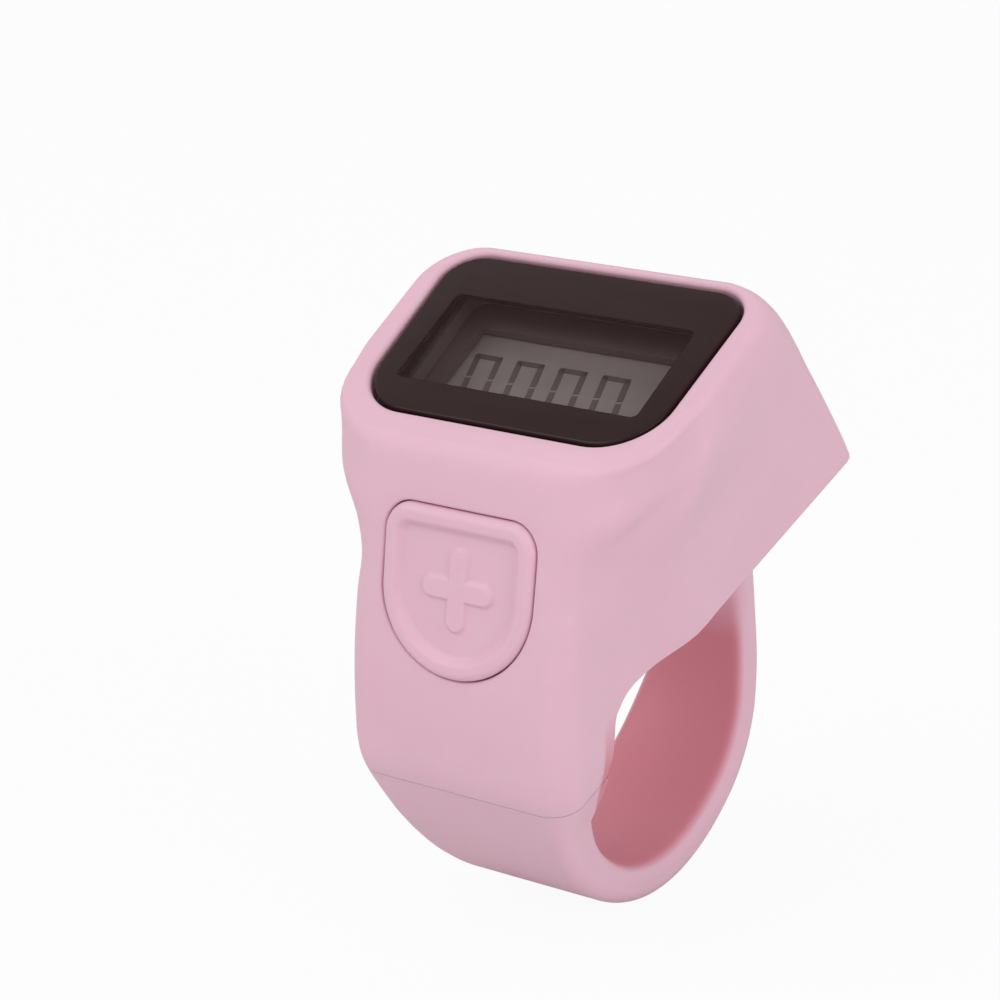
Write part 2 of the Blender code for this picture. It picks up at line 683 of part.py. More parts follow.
def tongue_box(name, grow):
    """The tongue that locates the band in the housing's front wall, or its pocket."""
    width, thickness, height = SEAM_TONGUE
    middle = seam_point(FRONT_INNER + FRONT_WALL / 2, 0.0)
    low = (-width / 2 - grow, middle[0] - thickness / 2 - grow, middle[1] - height)
    high = (width / 2 + grow, middle[0] + thickness / 2 + grow, middle[1] + height + grow)
    return box(name, low, high)


def make_button_pocket(housing):
    """The hollow in the front wall behind the count button, and the button's opening."""
    half = BUTTON_WIDTH / 2 + BUTTON_LIP + POCKET_CLEARANCE
    low = BUTTON_CENTRE - BUTTON_HEIGHT / 2 - BUTTON_LIP - POCKET_CLEARANCE
    top = BUTTON_CENTRE + BUTTON_HEIGHT / 2 + BUTTON_LIP + POCKET_CLEARANCE
    centre = (0.0, (low + top) / 2)
    pocket = rounded_rectangle((2 * half, top - low), BODY_ROUND / 2, centre)
    boolean(housing, prism("button_pocket", pocket, -POCKET_BACK, -SKIN_BACK, turn=ALONG_Y))
    half = FLEX_WIDTH / 2 + POCKET_CLEARANCE
    back = to_world(DISPLAY_CENTRE - BOARD_SIZE[1] / 2, BOARD_BOTTOM)[0]
    high = BUTTON_CENTRE + BUTTON_HEIGHT / 2 - BUTTON_RIM - FLEX_THICKNESS
    corners = (-half, POCKET_BACK - SEAT_GAP, BUTTON_CENTRE), (half, back, high)
    boolean(housing, box("flex_channel", *corners))
    hole = button_outline(BUTTON_CLEARANCE)
    front = FRONT_REACH + OVERRUN
    boolean(housing, prism("button_hole", hole, -SKIN_BACK - SKIN / 2, front, turn=ALONG_Y))


def make_window_seat(housing, head):
    """The pocket for the window and the opening through its ledge."""
    seat = window_outline(LENS_CLEARANCE)
    boolean(housing, prism("window_seat", seat, LEDGE_TOP, HEAD_TOP + OVERRUN, parent=head))
    opening = window_outline(-LEDGE_WIDTH)
    low = LEDGE_BOTTOM - LEDGE_THICKNESS
    boolean(housing, prism("window_opening", opening, low, HEAD_TOP, parent=head))


def screw_places():
    """Where the four base plate screws stand, in the head's frame."""
    return [(side * x, u) for x, u in (SCREW_FRONT, SCREW_BACK) for side in (-1, 1)]


def make_bosses(housing, head):
    """Screw bosses that also carry the main board, each joined to the wall beside it."""
    low = PLATE_TOP + SEAT_GAP
    high = BOARD_BOTTOM - SEAT_GAP
    for index, (x, u) in enumerate(screw_places()):
        side = math.copysign(1.0, x)
        reach = x + side * (BOSS_RADIUS + HEAD_WALL / 2)
        start = math.pi / 2 * side
        round_end = arc((x, u), BOSS_RADIUS, start, start + math.pi, 2 * ROUND_STEPS)
        outline = round_end + [(reach, u - side * BOSS_RADIUS), (reach, u + side * BOSS_RADIUS)]
        boolean(housing, prism(f"boss_{index}", outline, low, high, parent=head), "UNION")
    pilot = SCREW_RADIUS + SEAT_GAP
    for index, place in enumerate(screw_places()):
        top = high - SCREW_RADIUS
        hole = cylinder(f"pilot_{index}", pilot, place, low - OVERRUN, top, parent=head)
        boolean(housing, hole)


def make_base_plate(band, head):
    """The plate that closes the head's underside, with the button cell's cup."""
    inset = HEAD_WALL + PLATE_CLEARANCE
    plan = plan_outline(HEAD_LEVEL_SHARES[0], inset, PLATE_FRONT, PLATE_BACK)
    plate = prism("base_plate", plan, HEAD_ROOF, PLATE_TOP, parent=head)
    boolean(band, plate, "UNION")
    root_high = HEAD_ROOF + PLATE_THICKNESS / 2
    root_low = HEAD_ROOF - BAND_WALL
    outer = math.sqrt(BAND_RADIUS ** 2 - HEAD_ROOF ** 2)
    inner = math.sqrt(BORE_RADIUS ** 2 - root_low ** 2)
    half = BAND_BACK_WIDTH / 2 - BAND_ROUND / 2
    reach = min(outer, PLATE_BACK) - BAND_ROUND / 2
    root = box("band_root", (-half, inner, root_low), (half, reach, root_high), parent=head)
    boolean(band, root, "UNION")
    centre = (0.0, CELL_CENTRE)
    cup = cylinder("cell_cup", CUP_OUTER, centre, PLATE_TOP - DOOR_GAP, CELL_TOP, parent=head)
    boolean(band, cup, "UNION")
    low = HEAD_ROOF - OVERRUN
    bore = cylinder("cell_bore", CUP_INNER, centre, low, CELL_TOP + OVERRUN, parent=head)
    boolean(band, bore)
    flange_top = HEAD_ROOF + DOOR_FLANGE + DOOR_GAP
    seat = cylinder("door_seat", DOOR_RADIUS + DOOR_GAP, centre, low, flange_top, parent=head)
    boolean(band, seat)
    groove_radius = CUP_INNER + LUG_REACH
    groove = cylinder(
        "lug_groove", groove_radius, centre, PLATE_TOP, LUG_TOP + DOOR_GAP, parent=head
    )
    boolean(band, groove)
    clear = DOOR_GAP / CUP_INNER + LUG_HALF_ANGLE
    for index in range(2):
        turn = DOOR_TURN + index * math.pi
        notch = lug_outline(groove_radius, clear, turn)
        boolean(band, prism(f"lug_notch_{index}", notch, low, PLATE_TOP + DOOR_GAP, parent=head))
    slot = contact_slot()
    boolean(band, box("contact_slot", *slot, parent=head))
    for index, place in enumerate(screw_places()):
        shank = SCREW_RADIUS + SEAT_GAP
        hole = cylinder(f"plate_hole_{index}", shank, place, low, PLATE_TOP + OVERRUN, parent=head)
        boolean(band, hole)
        sink = SCREW_HEAD_RADIUS + SEAT_GAP
        depth = HEAD_ROOF + SCREW_HEAD_HEIGHT + 2 * SEAT_GAP
        counterbore = cylinder(f"plate_sink_{index}", sink, place, low, depth, parent=head)
        boolean(band, counterbore)


def lug_outline(radius, half_angle, turn):
    """A sector from inside the cell's cup out to a radius."""
    centre = (0.0, CELL_CENTRE)
    points = arc(centre, radius, turn - half_angle, turn + half_angle, ROUND_STEPS)
    inner = CELL_RADIUS / 2
    return points + arc(centre, inner, turn + half_angle, turn - half_angle, 2)


def contact_slot():
    """Corners of the slot in the cup's wall for the side contact."""
    half = CONTACT_WIDTH / 2 + SEAT_GAP
    low = (-CUP_OUTER - SEAT_GAP, CELL_CENTRE - half, LUG_TOP + DOOR_GAP + CONTACT_THICKNESS)
    return low, (-CELL_RADIUS, CELL_CENTRE + half, CELL_TOP + OVERRUN)


def make_window(head):
    """The smoked window and the adhesive ring that holds it."""
    outline = window_outline(0.0)
    lens = prism("window_lens", outline, LENS_BOTTOM, LENS_TOP, "smoked_window", head)
    bevel(lens, WINDOW_BEVEL)
    low = LEDGE_TOP + SEAT_GAP
    high = low + TAPE_THICKNESS
    ring = window_outline(-LEDGE_WIDTH / 4)
    tape = prism("lens_tape", ring, low, high, "adhesive_tape", head)
    hole = window_outline(-LEDGE_WIDTH * 7 / 8)
    boolean(tape, prism("lens_tape_hole", hole, low - OVERRUN, high + OVERRUN, parent=head))


def make_display(head):
    """The display: frame, two glasses, films and the rubber connector."""
    centre = (0.0, DISPLAY_CENTRE)
    clear = SEAT_GAP + FRAME_WALL
    outer = [length + 2 * clear for length in GLASS_SIZE]
    inner = [length + 2 * SEAT_GAP for length in GLASS_SIZE]
    body = rounded_rectangle(outer, BOARD_ROUND, centre)
    frame = prism("display_frame", body, BOARD_TOP + SEAT_GAP, FRAME_TOP, "black_plastic", head)
    low = [c - length / 2 for c, length in zip(centre, inner)]
    high = [c + length / 2 for c, length in zip(centre, inner)]
    well_top = FRAME_TOP - FRAME_WALL
    boolean(frame, box("display_well", (*low, BOARD_BOTTOM), (*high, well_top), parent=head))
    low = [c - length / 2 for c, length in zip(centre, VIEW_SIZE)]
    high = [c + length / 2 for c, length in zip(centre, VIEW_SIZE)]
    above = FRAME_TOP + OVERRUN
    boolean(frame, box("view_opening", (*low, BOARD_BOTTOM), (*high, above), parent=head))

    half_x, half_u = GLASS_SIZE[0] / 2, GLASS_SIZE[1] / 2
    front, back = DISPLAY_CENTRE - half_u, DISPLAY_CENTRE + half_u
    step = back - GLASS_STEP

    def layer(name, end, top, thickness, finish):
        box(name, (-half_x, front, top - thickness), (half_x, end, top), finish, head)

    layer("display_front_film", step, FILM_TOP, FILM_THICKNESS, "smoked_window")
    layer("display_front_glass", back, FRONT_GLASS_TOP, GLASS_THICKNESS, "display_glass")
    layer("display_rear_glass", step, REAR_GLASS_TOP, GLASS_THICKNESS, "display_glass")
    layer("display_reflector", step, REFLECTOR_TOP, FILM_THICKNESS, "reflector_film")
    half = half_x - ZEBRA_INSET
    zebra_back = back - (GLASS_STEP - ZEBRA_WIDTH) / 2
    zebra_top = FRONT_GLASS_TOP - GLASS_THICKNESS - SEAT_GAP
    box(
        "zebra_connector",
        (-half, zebra_back - ZEBRA_WIDTH, BOARD_TOP + SEAT_GAP),
        (half, zebra_back, zebra_top),
        "zebra_rubber",
        head,
    )


def make_main_board(head):
    """The main board with its chip, crystal, capacitors and resistors."""
    outline = rounded_rectangle(BOARD_SIZE, BOARD_ROUND, (0.0, DISPLAY_CENTRE))
    prism("main_board", outline, BOARD_BOTTOM, BOARD_TOP, "circuit_board", head)
    low = BOARD_TOP + SEAT_GAP
    blob = cylinder(
        "controller_blob",
        BLOB_RADIUS,
        (0.0, DISPLAY_CENTRE),
        low,
        low + BLOB_HEIGHT,
        "black_resin",
        head,
        top=BLOB_RADIUS * 0.7,
    )
    bevel(blob, BLOB_HEIGHT / 3, 2, 25.0)
    under = BOARD_BOTTOM - SEAT_GAP
    side = CUP_OUTER + CRYSTAL_RADIUS + CHIP_PITCH / 2
    crystal = cylinder(
        "crystal_can",
        CRYSTAL_RADIUS,
        (side, under - CRYSTAL_RADIUS),
        -CELL_CENTRE - CRYSTAL_LENGTH,
        -CELL_CENTRE,
        "bright_steel",
        head,
        turn=ALONG_Y,
    )
    bevel(crystal, CRYSTAL_RADIUS / 4)
    length, width, height = CHIP_SIZE
    names = [f"capacitor_{i + 1}" for i in range(CAPACITORS)]
    names += [f"resistor_{i + 1}" for i in range(RESISTORS)]
    for index, name in enumerate(names):
        finish = "ceramic_chip" if index < CAPACITORS else "black_resin"
        u = CELL_CENTRE + CHIP_PITCH * index
        low = (-side - length / 2, u, under - height)
        box(name, low, (-side + length / 2, u + width, under), finish, head)


def make_cell(head):
    """The button cell and its two contacts."""
    centre = (0.0, CELL_CENTRE)
    cell = cylinder(
        "button_cell", CELL_RADIUS, centre, CELL_BOTTOM, CELL_TOP, "bright_steel", head
    )
    bevel(cell, CELL_HEIGHT / 10)
    side = -CELL_RADIUS - SEAT_GAP
    half = CONTACT_WIDTH / 2
    box(
        "contact_positive",
        (side - CONTACT_THICKNESS, CELL_CENTRE - half, LUG_TOP + 2 * DOOR_GAP + CONTACT_THICKNESS),
        (side, CELL_CENTRE + half, BOARD_BOTTOM - SEAT_GAP),
        "bright_steel",
        head,
    )
    low = CELL_TOP + SEAT_GAP
    high = BOARD_BOTTOM - SEAT_GAP
    run = CELL_RADIUS / 2
    thick = CONTACT_THICKNESS
    spring = [
        (CELL_CENTRE - run, high),
        (CELL_CENTRE - run, high - thick),
        (CELL_CENTRE - run / 2, high - thick),
        (CELL_CENTRE, low),
        (CELL_CENTRE + run / 2, low),
        (CELL_CENTRE + run, high - 2 * thick),
        (CELL_CENTRE + run, high - thick),
        (CELL_CENTRE + run / 2, low + thick),
        (CELL_CENTRE + thick / 2, low + thick),
        (CELL_CENTRE - run / 2 + thick / 2, high),
    ]
    prism("contact_negative", spring, -half, half, "bright_steel", head, turn=ALONG_X)


def make_door(head):
    """The quarter-turn cover of the cell's bay, on an empty on its turning axis."""
    pivot = bpy.data.objects.new("door_axis", None)
    bpy.data.collections[PARTS].objects.link(pivot)
    pivot.parent = head
    pivot.location = (0.0, CELL_CENTRE, HEAD_ROOF)
    centre = (0.0, 0.0)
    door = cylinder(
        "battery_door", DOOR_RADIUS, centre, 0.0, DOOR_FLANGE, "pink_plastic", pivot
    )
    spigot = CELL_RADIUS
    top = LUG_TOP - HEAD_ROOF
    boolean(door, cylinder("door_spigot", spigot, centre, 0.0, top, parent=pivot), "UNION")
    lug_radius = CUP_INNER + LUG_REACH - DOOR_GAP
    low = LUG_BOTTOM - HEAD_ROOF
    for index in range(2):
        turn = index * math.pi
        sector = lug_outline(lug_radius, LUG_HALF_ANGLE, turn)
        local = [(x, u - CELL_CENTRE) for x, u in sector]
        boolean(door, prism(f"door_lug_{index}", local, low, top, parent=pivot), "UNION")
    length, width, depth = COIN_SLOT
    slot_low = (-length / 2, -width / 2, -OVERRUN)
    boolean(door, box("coin_slot", slot_low, (length / 2, width / 2, depth), parent=pivot))
    return pivot


def make_screws(head):
    """Four screws that hold the base plate to the housing."""
    for index, place in enumerate(screw_places()):
        low = HEAD_ROOF + SEAT_GAP
        top = low + SCREW_HEAD_HEIGHT
        name = f"plate_screw_{index + 1}"
        screw = cylinder(name, SCREW_HEAD_RADIUS, place, low, top, "bright_steel", head)
        shank = cylinder(
            f"{name}_shank", SCREW_RADIUS, place, top - SEAT_GAP, low + SCREW_LENGTH, parent=head
        )
        boolean(screw, shank, "UNION")
        arm, bite = SCREW_CROSS[0] / 2, SCREW_CROSS[1]
        for turn, (dx, du) in enumerate(((arm, bite / 2), (bite / 2, arm))):
            cross = box(
                f"{name}_cross_{turn}",
                (place[0] - dx, place[1] - du, low - OVERRUN),
                (place[0] + dx, place[1] + du, low + bite),
                parent=head,
            )
            boolean(screw, cross)


def make_button():
    """The count button, on an empty on its line of travel, and its switch."""
    axis = bpy.data.objects.new("button_axis", None)
    bpy.data.collections[PARTS].objects.link(axis)
    face = button_outline(0.0)
    button = prism(
        "count_button", face, -FLANGE_BACK, -BUTTON_FACE, "pink_plastic", axis, ALONG_Y
    )
    reach = BUTTON_HEIGHT
    trim = rounded_rectangle((2 * reach, 2 * reach), BUTTON_RIM, (0.0, BUTTON_CENTRE))
    boolean(button, prism("face_trim", trim, 0.0, OVERRUN, parent=axis, turn=ALONG_BUTTON))
    flange = button_outline(BUTTON_LIP)
    boolean(
        button, prism("flange", flange, -FLANGE_BACK, -FLANGE_FRONT, parent=axis, turn=ALONG_Y),
        "UNION",
    )
    dish = button_outline(-BUTTON_RIM)
    boolean(
        button, prism("dish", dish, -BUTTON_DISH, OVERRUN, parent=axis, turn=ALONG_BUTTON)
    )
    arm, bar = MARK_SIZE[0] / 2, MARK_SIZE[1] / 2
    tip = bar * 0.85
    corners = [(bar, bar), (tip, arm), (-tip, arm), (-bar, bar), (-arm, tip), (-arm, -tip)]
    cross = corners + [(-x, -z) for x, z in corners]
    outline = [(x, BUTTON_CENTRE + z) for x, z in cross]
    low = -BUTTON_DISH - MARK_HEIGHT
    high = -BUTTON_DISH + MARK_HEIGHT
    boolean(
        button, prism("mark", outline, low, high, parent=axis, turn=ALONG_BUTTON), "UNION"
    )
    centre = (0.0, BUTTON_CENTRE)
    nub = cylinder(
        "nub", NUB_RADIUS, centre, -NUB_BACK, -FLANGE_BACK + BUTTON_FLANGE / 2,
        parent=axis, turn=ALONG_Y,
    )
    boolean(button, nub, "UNION")
    plunger_front = NUB_BACK + SEAT_GAP
    cylinder(
        "switch_plunger", PLUNGER_RADIUS, centre, -plunger_front - PLUNGER_LENGTH,
        -plunger_front, "black_plastic", axis, ALONG_Y,
    )
    return axis


def make_switch():
    """The switch, its board in the front wall, and the film that joins the two boards."""
    half = BUTTON_WIDTH / 2
    low = BUTTON_CENTRE - BUTTON_HEIGHT / 2
    high = BUTTON_CENTRE + BUTTON_HEIGHT / 2 - BUTTON_RIM
    box(
        "switch_board",
        (-half, SWITCH_BOARD_FRONT, low),
        (half, SWITCH_BOARD_BACK, high),
        "circuit_board",
    )
    side = SWITCH_SIZE / 2
    switch = box(
        "switch_body",
        (-side, SWITCH_FRONT, BUTTON_CENTRE - side),
        (side, SWITCH_BACK, BUTTON_CENTRE + side),
        "bright_steel",
    )
    bore = cylinder(
        "switch_bore", PLUNGER_RADIUS + PLUNGER_CLEARANCE, (0.0, BUTTON_CENTRE),
        -NUB_BACK - SEAT_GAP - PLUNGER_LENGTH - BUTTON_TRAVEL - SEAT_GAP / 2,
        -SWITCH_FRONT + OVERRUN, turn=ALONG_Y,
    )
    boolean(switch, bore)
    board_front = DISPLAY_CENTRE - BOARD_SIZE[1] / 2
    pad = to_world(board_front + FLEX_WIDTH / 2, BOARD_BOTTOM - SEAT_GAP - FLEX_THICKNESS)
    edge = to_world(board_front, BOARD_BOTTOM - SEAT_GAP - FLEX_THICKNESS)
    behind = SWITCH_BOARD_BACK + SEAT_GAP + FLEX_THICKNESS
    land = (behind, high - FLEX_WIDTH)
    top = (behind, high - FLEX_WIDTH / 3)
    turn = ((top[0] * 2 + edge[0]) / 3, top[1] + FLEX_THICKNESS)
    route = [pad, edge, turn, top, land]
    half = FLEX_WIDTH / 2
    prism(
        "flex_link", strip_outline(route, FLEX_THICKNESS), -half, half, "amber_film",
        turn=ALONG_X,
    )


def strip_outline(route, thickness):
    """Outline of a thin strip that lies on one side of a route."""
    offset = []
    for index, point in enumerate(route):
        before = Vector(route[max(index - 1, 0)])
        after = Vector(route[min(index + 1, len(route) - 1)])
        along = (after - before).normalized()
        offset.append((point[0] + along.y * thickness, point[1] - along.x * thickness))
    return list(route) + offset[::-1]


def smooth_parts():
    """Shade the round faces smooth and keep the edges sharp."""
    for obj in bpy.data.collections[PARTS].objects:
        if obj.type == "MESH":
            obj.data.shade_smooth()
            obj.data.set_sharp_from_angle(angle=math.radians(35.0))


def main():
    """Build the whole counter."""
    clear_scene()
    head = tilted_frame()
    make_body(head)
    make_window(head)
    make_display(head)
    make_main_board(head)
    make_cell(head)
    make_door(head)
    make_screws(head)
    make_button()
    make_switch()
    smooth_parts()


main()
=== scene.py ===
"""Looks of a finger tally counter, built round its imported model.

Sizes are in metres. X runs along the finger bore, -Y is the front with the count key and
+Z is up. The display head is tilted, so its pieces are drawn in x, u (up and back along
the window) and n (out of the window), and turned into place.
"""

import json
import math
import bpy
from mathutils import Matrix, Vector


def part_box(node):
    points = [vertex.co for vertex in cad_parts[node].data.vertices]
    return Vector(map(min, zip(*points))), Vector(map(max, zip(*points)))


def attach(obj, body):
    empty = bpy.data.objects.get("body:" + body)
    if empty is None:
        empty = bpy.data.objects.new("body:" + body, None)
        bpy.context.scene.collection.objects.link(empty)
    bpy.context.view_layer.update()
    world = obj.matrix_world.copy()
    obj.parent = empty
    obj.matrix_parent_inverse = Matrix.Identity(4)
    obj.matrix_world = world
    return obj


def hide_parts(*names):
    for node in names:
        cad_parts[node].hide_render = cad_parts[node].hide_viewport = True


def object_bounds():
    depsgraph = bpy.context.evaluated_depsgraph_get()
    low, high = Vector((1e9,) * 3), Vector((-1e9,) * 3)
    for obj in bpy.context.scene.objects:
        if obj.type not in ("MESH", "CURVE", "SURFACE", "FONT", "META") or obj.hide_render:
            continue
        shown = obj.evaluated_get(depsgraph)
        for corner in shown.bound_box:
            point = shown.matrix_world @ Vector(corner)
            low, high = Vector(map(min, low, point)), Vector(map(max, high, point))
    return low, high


bl_info = {
    "name": "Finger tally counter looks",
    "version": (1, 0, 0),
    "blender": (4, 5, 0),
    "location": "3D View > Sidebar > Tally counter",
    "description": "Shells, key, window, display and stage of a finger tally counter",
    "category": "Object",
}

from collections import namedtuple

import bmesh
import bpy
from bpy.props import FloatProperty, FloatVectorProperty, IntProperty, PointerProperty
from mathutils import Matrix, Vector
from mathutils.bvhtree import BVHTree

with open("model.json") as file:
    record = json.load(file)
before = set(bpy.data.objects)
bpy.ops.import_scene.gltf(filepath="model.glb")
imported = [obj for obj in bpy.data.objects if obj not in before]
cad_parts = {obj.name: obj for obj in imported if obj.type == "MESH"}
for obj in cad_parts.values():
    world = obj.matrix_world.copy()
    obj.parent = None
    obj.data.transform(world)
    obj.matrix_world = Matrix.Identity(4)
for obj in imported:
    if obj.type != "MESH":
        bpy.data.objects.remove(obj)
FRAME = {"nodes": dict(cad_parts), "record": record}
CAD_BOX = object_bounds()

MM = 0.001
HEAD_TILT = math.radians(29.5)
HEAD = Matrix.Rotation(HEAD_TILT, 4, "X")
ALONG_X = Matrix(((0, 0, 1, 0), (1, 0, 0, 0), (0, 1, 0, 0), (0, 0, 0, 1)))
ALONG_Y = Matrix(((1, 0, 0, 0), (0, 0, -1, 0), (0, 1, 0, 0), (0, 0, 0, 1)))

# Body
BORE_RADIUS = 10.9 * MM
BAND_WALL = 2.2 * MM
BODY_WIDTH = 14.5 * MM
BAND_BOTTOM_WIDTH = 9.2 * MM
BAND_BACK_WIDTH = 5.4 * MM
FRONT_REACH = 15.0 * MM
FRONT_WALL = 5.2 * MM
ROOF_FILLET = 2.4 * MM
BODY_ROUND = 1.8 * MM
BAND_ROUND = 0.9 * MM
SEAM_ANGLE = math.radians(193.0)
SEAM_GAP = 0.035 * MM
SEAM_TONGUE = (8.6 * MM, 1.3 * MM, 2.2 * MM)
HEAD_WIDTH = 23.0 * MM
HEAD_TOP = 20.1 * MM
HEAD_ROOF = 6.6 * MM
HEAD_BACK = 12.4 * MM
HEAD_WALL = 1.2 * MM
HEAD_INSIDE_BACK = 10.6 * MM
INNER_WALL = 0.9 * MM
SKIN = 1.6 * MM

# Window and display
WINDOW_WIDTH = 18.8 * MM
WINDOW_TAPER = 0.25 * MM
WINDOW_ROUND = 3.4 * MM
WINDOW_BACK_ROUND = 2.3 * MM
LENS_CLEARANCE = 0.15 * MM
VIEW_CENTRE = 4.05 * MM
VIEW_ROUND = 0.4 * MM
FIELD_GAP = 0.01 * MM
LEDGE_WIDTH = 1.3 * MM
WELL_EDGE = 0.8 * LEDGE_WIDTH
LEDGE_THICKNESS = 0.9 * MM
SEAT_GAP = 0.1 * MM
DIGIT_THICKNESS = 0.02 * MM

# How much a segment is cut short, in strokes, and how squarely a flat face of the window
# points out of it
SEGMENT_CUT = 0.35
FLAT_RISE = 0.99

# Base plate and the cell's bay
PLATE_THICKNESS = 1.4 * MM
PLATE_CLEARANCE = 0.15 * MM
CELL_WALL = 0.9 * MM
CELL_CLEARANCE = 0.2 * MM
DOOR_FLANGE = 0.75 * MM
DOOR_TURN = math.radians(60.0)
LUG_REACH = 0.55 * MM
LUG_THICKNESS = 0.5 * MM
LUG_HALF_ANGLE = math.radians(15.0)
BOSS_RADIUS = 1.3 * MM
PILOT_RADIUS = 0.6 * MM
SINK_RADIUS = 1.05 * MM
SINK_DEPTH = 0.8 * MM
SCREW_HEAD_HEIGHT = 0.6 * MM
SCREW_SHANK_RADIUS = 0.5 * MM
SCREW_RECESS = 0.3 * MM
SCREW_SIDES = 48
RECESS_REACH = 1.3
COVER_SOFT = 0.12 * MM
COVER_RIM = 1.6 * COVER_SOFT
COIN_SLOT = (7.6 * MM, 1.2 * MM)
COIN_SLOT_ROUND = 0.55 * MM
COIN_SLOT_DEPTH = 0.45 * MM

# Count key
KEY_WIDTH = 9.6 * MM
KEY_HEIGHT = 9.7 * MM
KEY_CENTRE = 8.2 * MM
KEY_CLEARANCE = 0.2 * MM
KEY_LEAN = math.radians(6.3)
KEY_LIP = 0.4 * MM
KEY_FLANGE = 0.45 * MM
NUB_RADIUS = 1.6 * MM
NUB_HEIGHT = 0.15 * MM
MARK_SOFT = 0.26 * MM

# The key's corner as a share of its width, its waist as a share of its height, and the
# rim's crest as a share of the rim's way inward
KEY_CORNER_SHARE = 0.17
KEY_WAIST_SHARE = 0.52
CREST_SHARE = 0.3

# Steps along the key's outline, rings of its field, rim and edge, and the decimal places
# to which the insets of two rings agree where they count as one
KEY_TOP_STEPS = 6
KEY_SIDE_STEPS = 5
FIELD_RINGS = 70
RIM_STEPS = 18
RIM_RINGS = 11
EDGE_STEPS = 9
INSET_DIGITS = 8

# Where painted shade turns the body's plastic redder: round the bore and low down
BORE_SHADE_REACH = 0.35 * MM
BORE_SHADE_EDGE = 0.3 * MM
BORE_SHADE_TOP = 1.5 * MM
BORE_SHADE_FADE = 3.0 * MM

# Stage: lamps by their place and size
SENSOR_WIDTH = 36.0
CLIP_START = 10 * MM
LAMP_AIM = Vector((0.0, 0.0, 0.006))
KEY_LAMP = ((-0.22, -0.34, 0.42), 0.36)
FILL_LAMP = ((0.48, -0.16, 0.20), 0.40)
FLOOR_RADIUS = 1.6
FLOOR_SIDES = 96
FLOOR_WHITE = 0.94
WHITE = (1.0, 1.0, 1.0, 1.0)

# How far a cutter runs past a face, how far one runs through everything, and a weld
OVERRUN = 4.0 * MM
FAR = 40.0 * MM
WELD = 0.002 * MM

# Steps of the shells' corners, sides, levels and stations, and of arcs and lips
ARC_STEPS = 12
SIDE_STEPS = 30
LEVEL_STEPS = 6
STATION_STEPS = 7
ROUND_STEPS = 14
LIP_STEPS = 6

# The filled corner beside the head's front: points to each side, and rounds of filling
FILL_REACH = 9
FILL_ROUNDS = 24

# A lip's last angle, and how far it then goes out and up, as shares of its radius
LIP_END = math.radians(78.0)
LIP_OUT = 1.5
LIP_RISE = 0.12

# Where a cove's cutter starts, before its path and inside the skin, as shares of its radius
COVE_UNDER = 0.04
COVE_BEHIND = 1.2

# Levels of the head from its roof (0) to its top (1), each with the front face's reach as a
# share of FRONT_REACH; the half widths of the nose, of the box behind the neck and of the
# back as shares of half the head's; the neck's two ends and the front corner's radius as
# shares of the same; and the back's place and its corner's radius as shares of HEAD_BACK
HEAD_LEVEL_SHARES = (
    (-0.022, 0.993, 0.630, 0.804, 0.987, -0.570, -0.104, 0.157, 1.055, 0.050),
    (0.119, 1.000, 0.630, 0.811, 0.990, -0.574, -0.104, 0.157, 1.041, 0.060),
    (0.289, 0.997, 0.630, 0.822, 0.993, -0.574, -0.104, 0.161, 1.019, 0.077),
    (0.459, 0.983, 0.630, 0.848, 0.996, -0.565, -0.096, 0.178, 0.998, 0.103),
    (0.578, 0.967, 0.635, 0.896, 0.998, -0.539, -0.078, 0.217, 0.982, 0.129),
    (0.689, 0.950, 0.661, 0.948, 1.000, -0.470, -0.035, 0.296, 0.969, 0.157),
    (0.800, 0.935, 0.722, 0.987, 1.000, -0.348, 0.070, 0.417, 0.957, 0.194),
    (0.889, 0.921, 0.809, 0.987, 0.997, -0.209, 0.200, 0.487, 0.948, 0.230),
    (0.952, 0.903, 0.878, 0.970, 0.983, -0.130, 0.261, 0.461, 0.937, 0.258),
    (0.981, 0.887, 0.900, 0.957, 0.963, -0.117, 0.261, 0.426, 0.927, 0.274),
    (1.000, 0.863, 0.896, 0.934, 0.937, -0.117, 0.261, 0.383, 0.915, 0.274),
)
Level = namedtuple(
    "Level", "height reach nose wide back neck_start neck_end corner rear rear_corner"
)
HEAD_LEVELS = [Level(*shares) for shares in HEAD_LEVEL_SHARES]
DISPLAY_LEVEL = 3

# Stations round the band: the angle in degrees, the outer radius as a share of the bore's
# radius and band wall together, and the width, from 0 for the back's past the bottom's
# share to 1 for the body's
BAND_STATION_SHARES = (
    (205.0, 1.079, 0.73),
    (212.0, 1.057, 0.67),
    (220.0, 1.038, 0.61),
    (230.0, 1.019, 0.56),
    (242.0, 1.008, 0.53),
    (255.0, 1.004, 0.49),
    (270.0, 1.004, 0.44),
    (285.0, 1.004, 0.39),
    (300.0, 1.004, 0.35),
    (315.0, 1.004, 0.32),
    (330.0, 1.004, 0.25),
    (345.0, 1.004, 0.13),
    (360.0, 1.004, 0.02),
    (375.0, 1.004, 0.00),
    (390.0, 1.004, 0.00),
    (405.0, 1.004, 0.00),
    (420.0, 1.004, 0.00),
    (435.0, 1.004, 0.00),
)
BAND_BOTTOM_SHARE = 0.44
BAND_ROUND_SHARE = 0.45
COLUMN_STEP_SHARE = -0.012
TAPER_SOFT = 0.06
SHOULDER_REACH_SHARE = 0.963
SHOULDER_WIDTH_SHARE = 0.98
START_PARTS = (0.25, 0.5, 0.75)


def head_corners(node):
    """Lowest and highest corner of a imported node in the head's x, u and n."""
    turned = [HEAD.inverted() @ vert.co for vert in FRAME["nodes"][node].data.vertices]
    low = Vector(min(point[axis] for point in turned) for axis in range(3))
    high = Vector(max(point[axis] for point in turned) for axis in range(3))
    return low, high


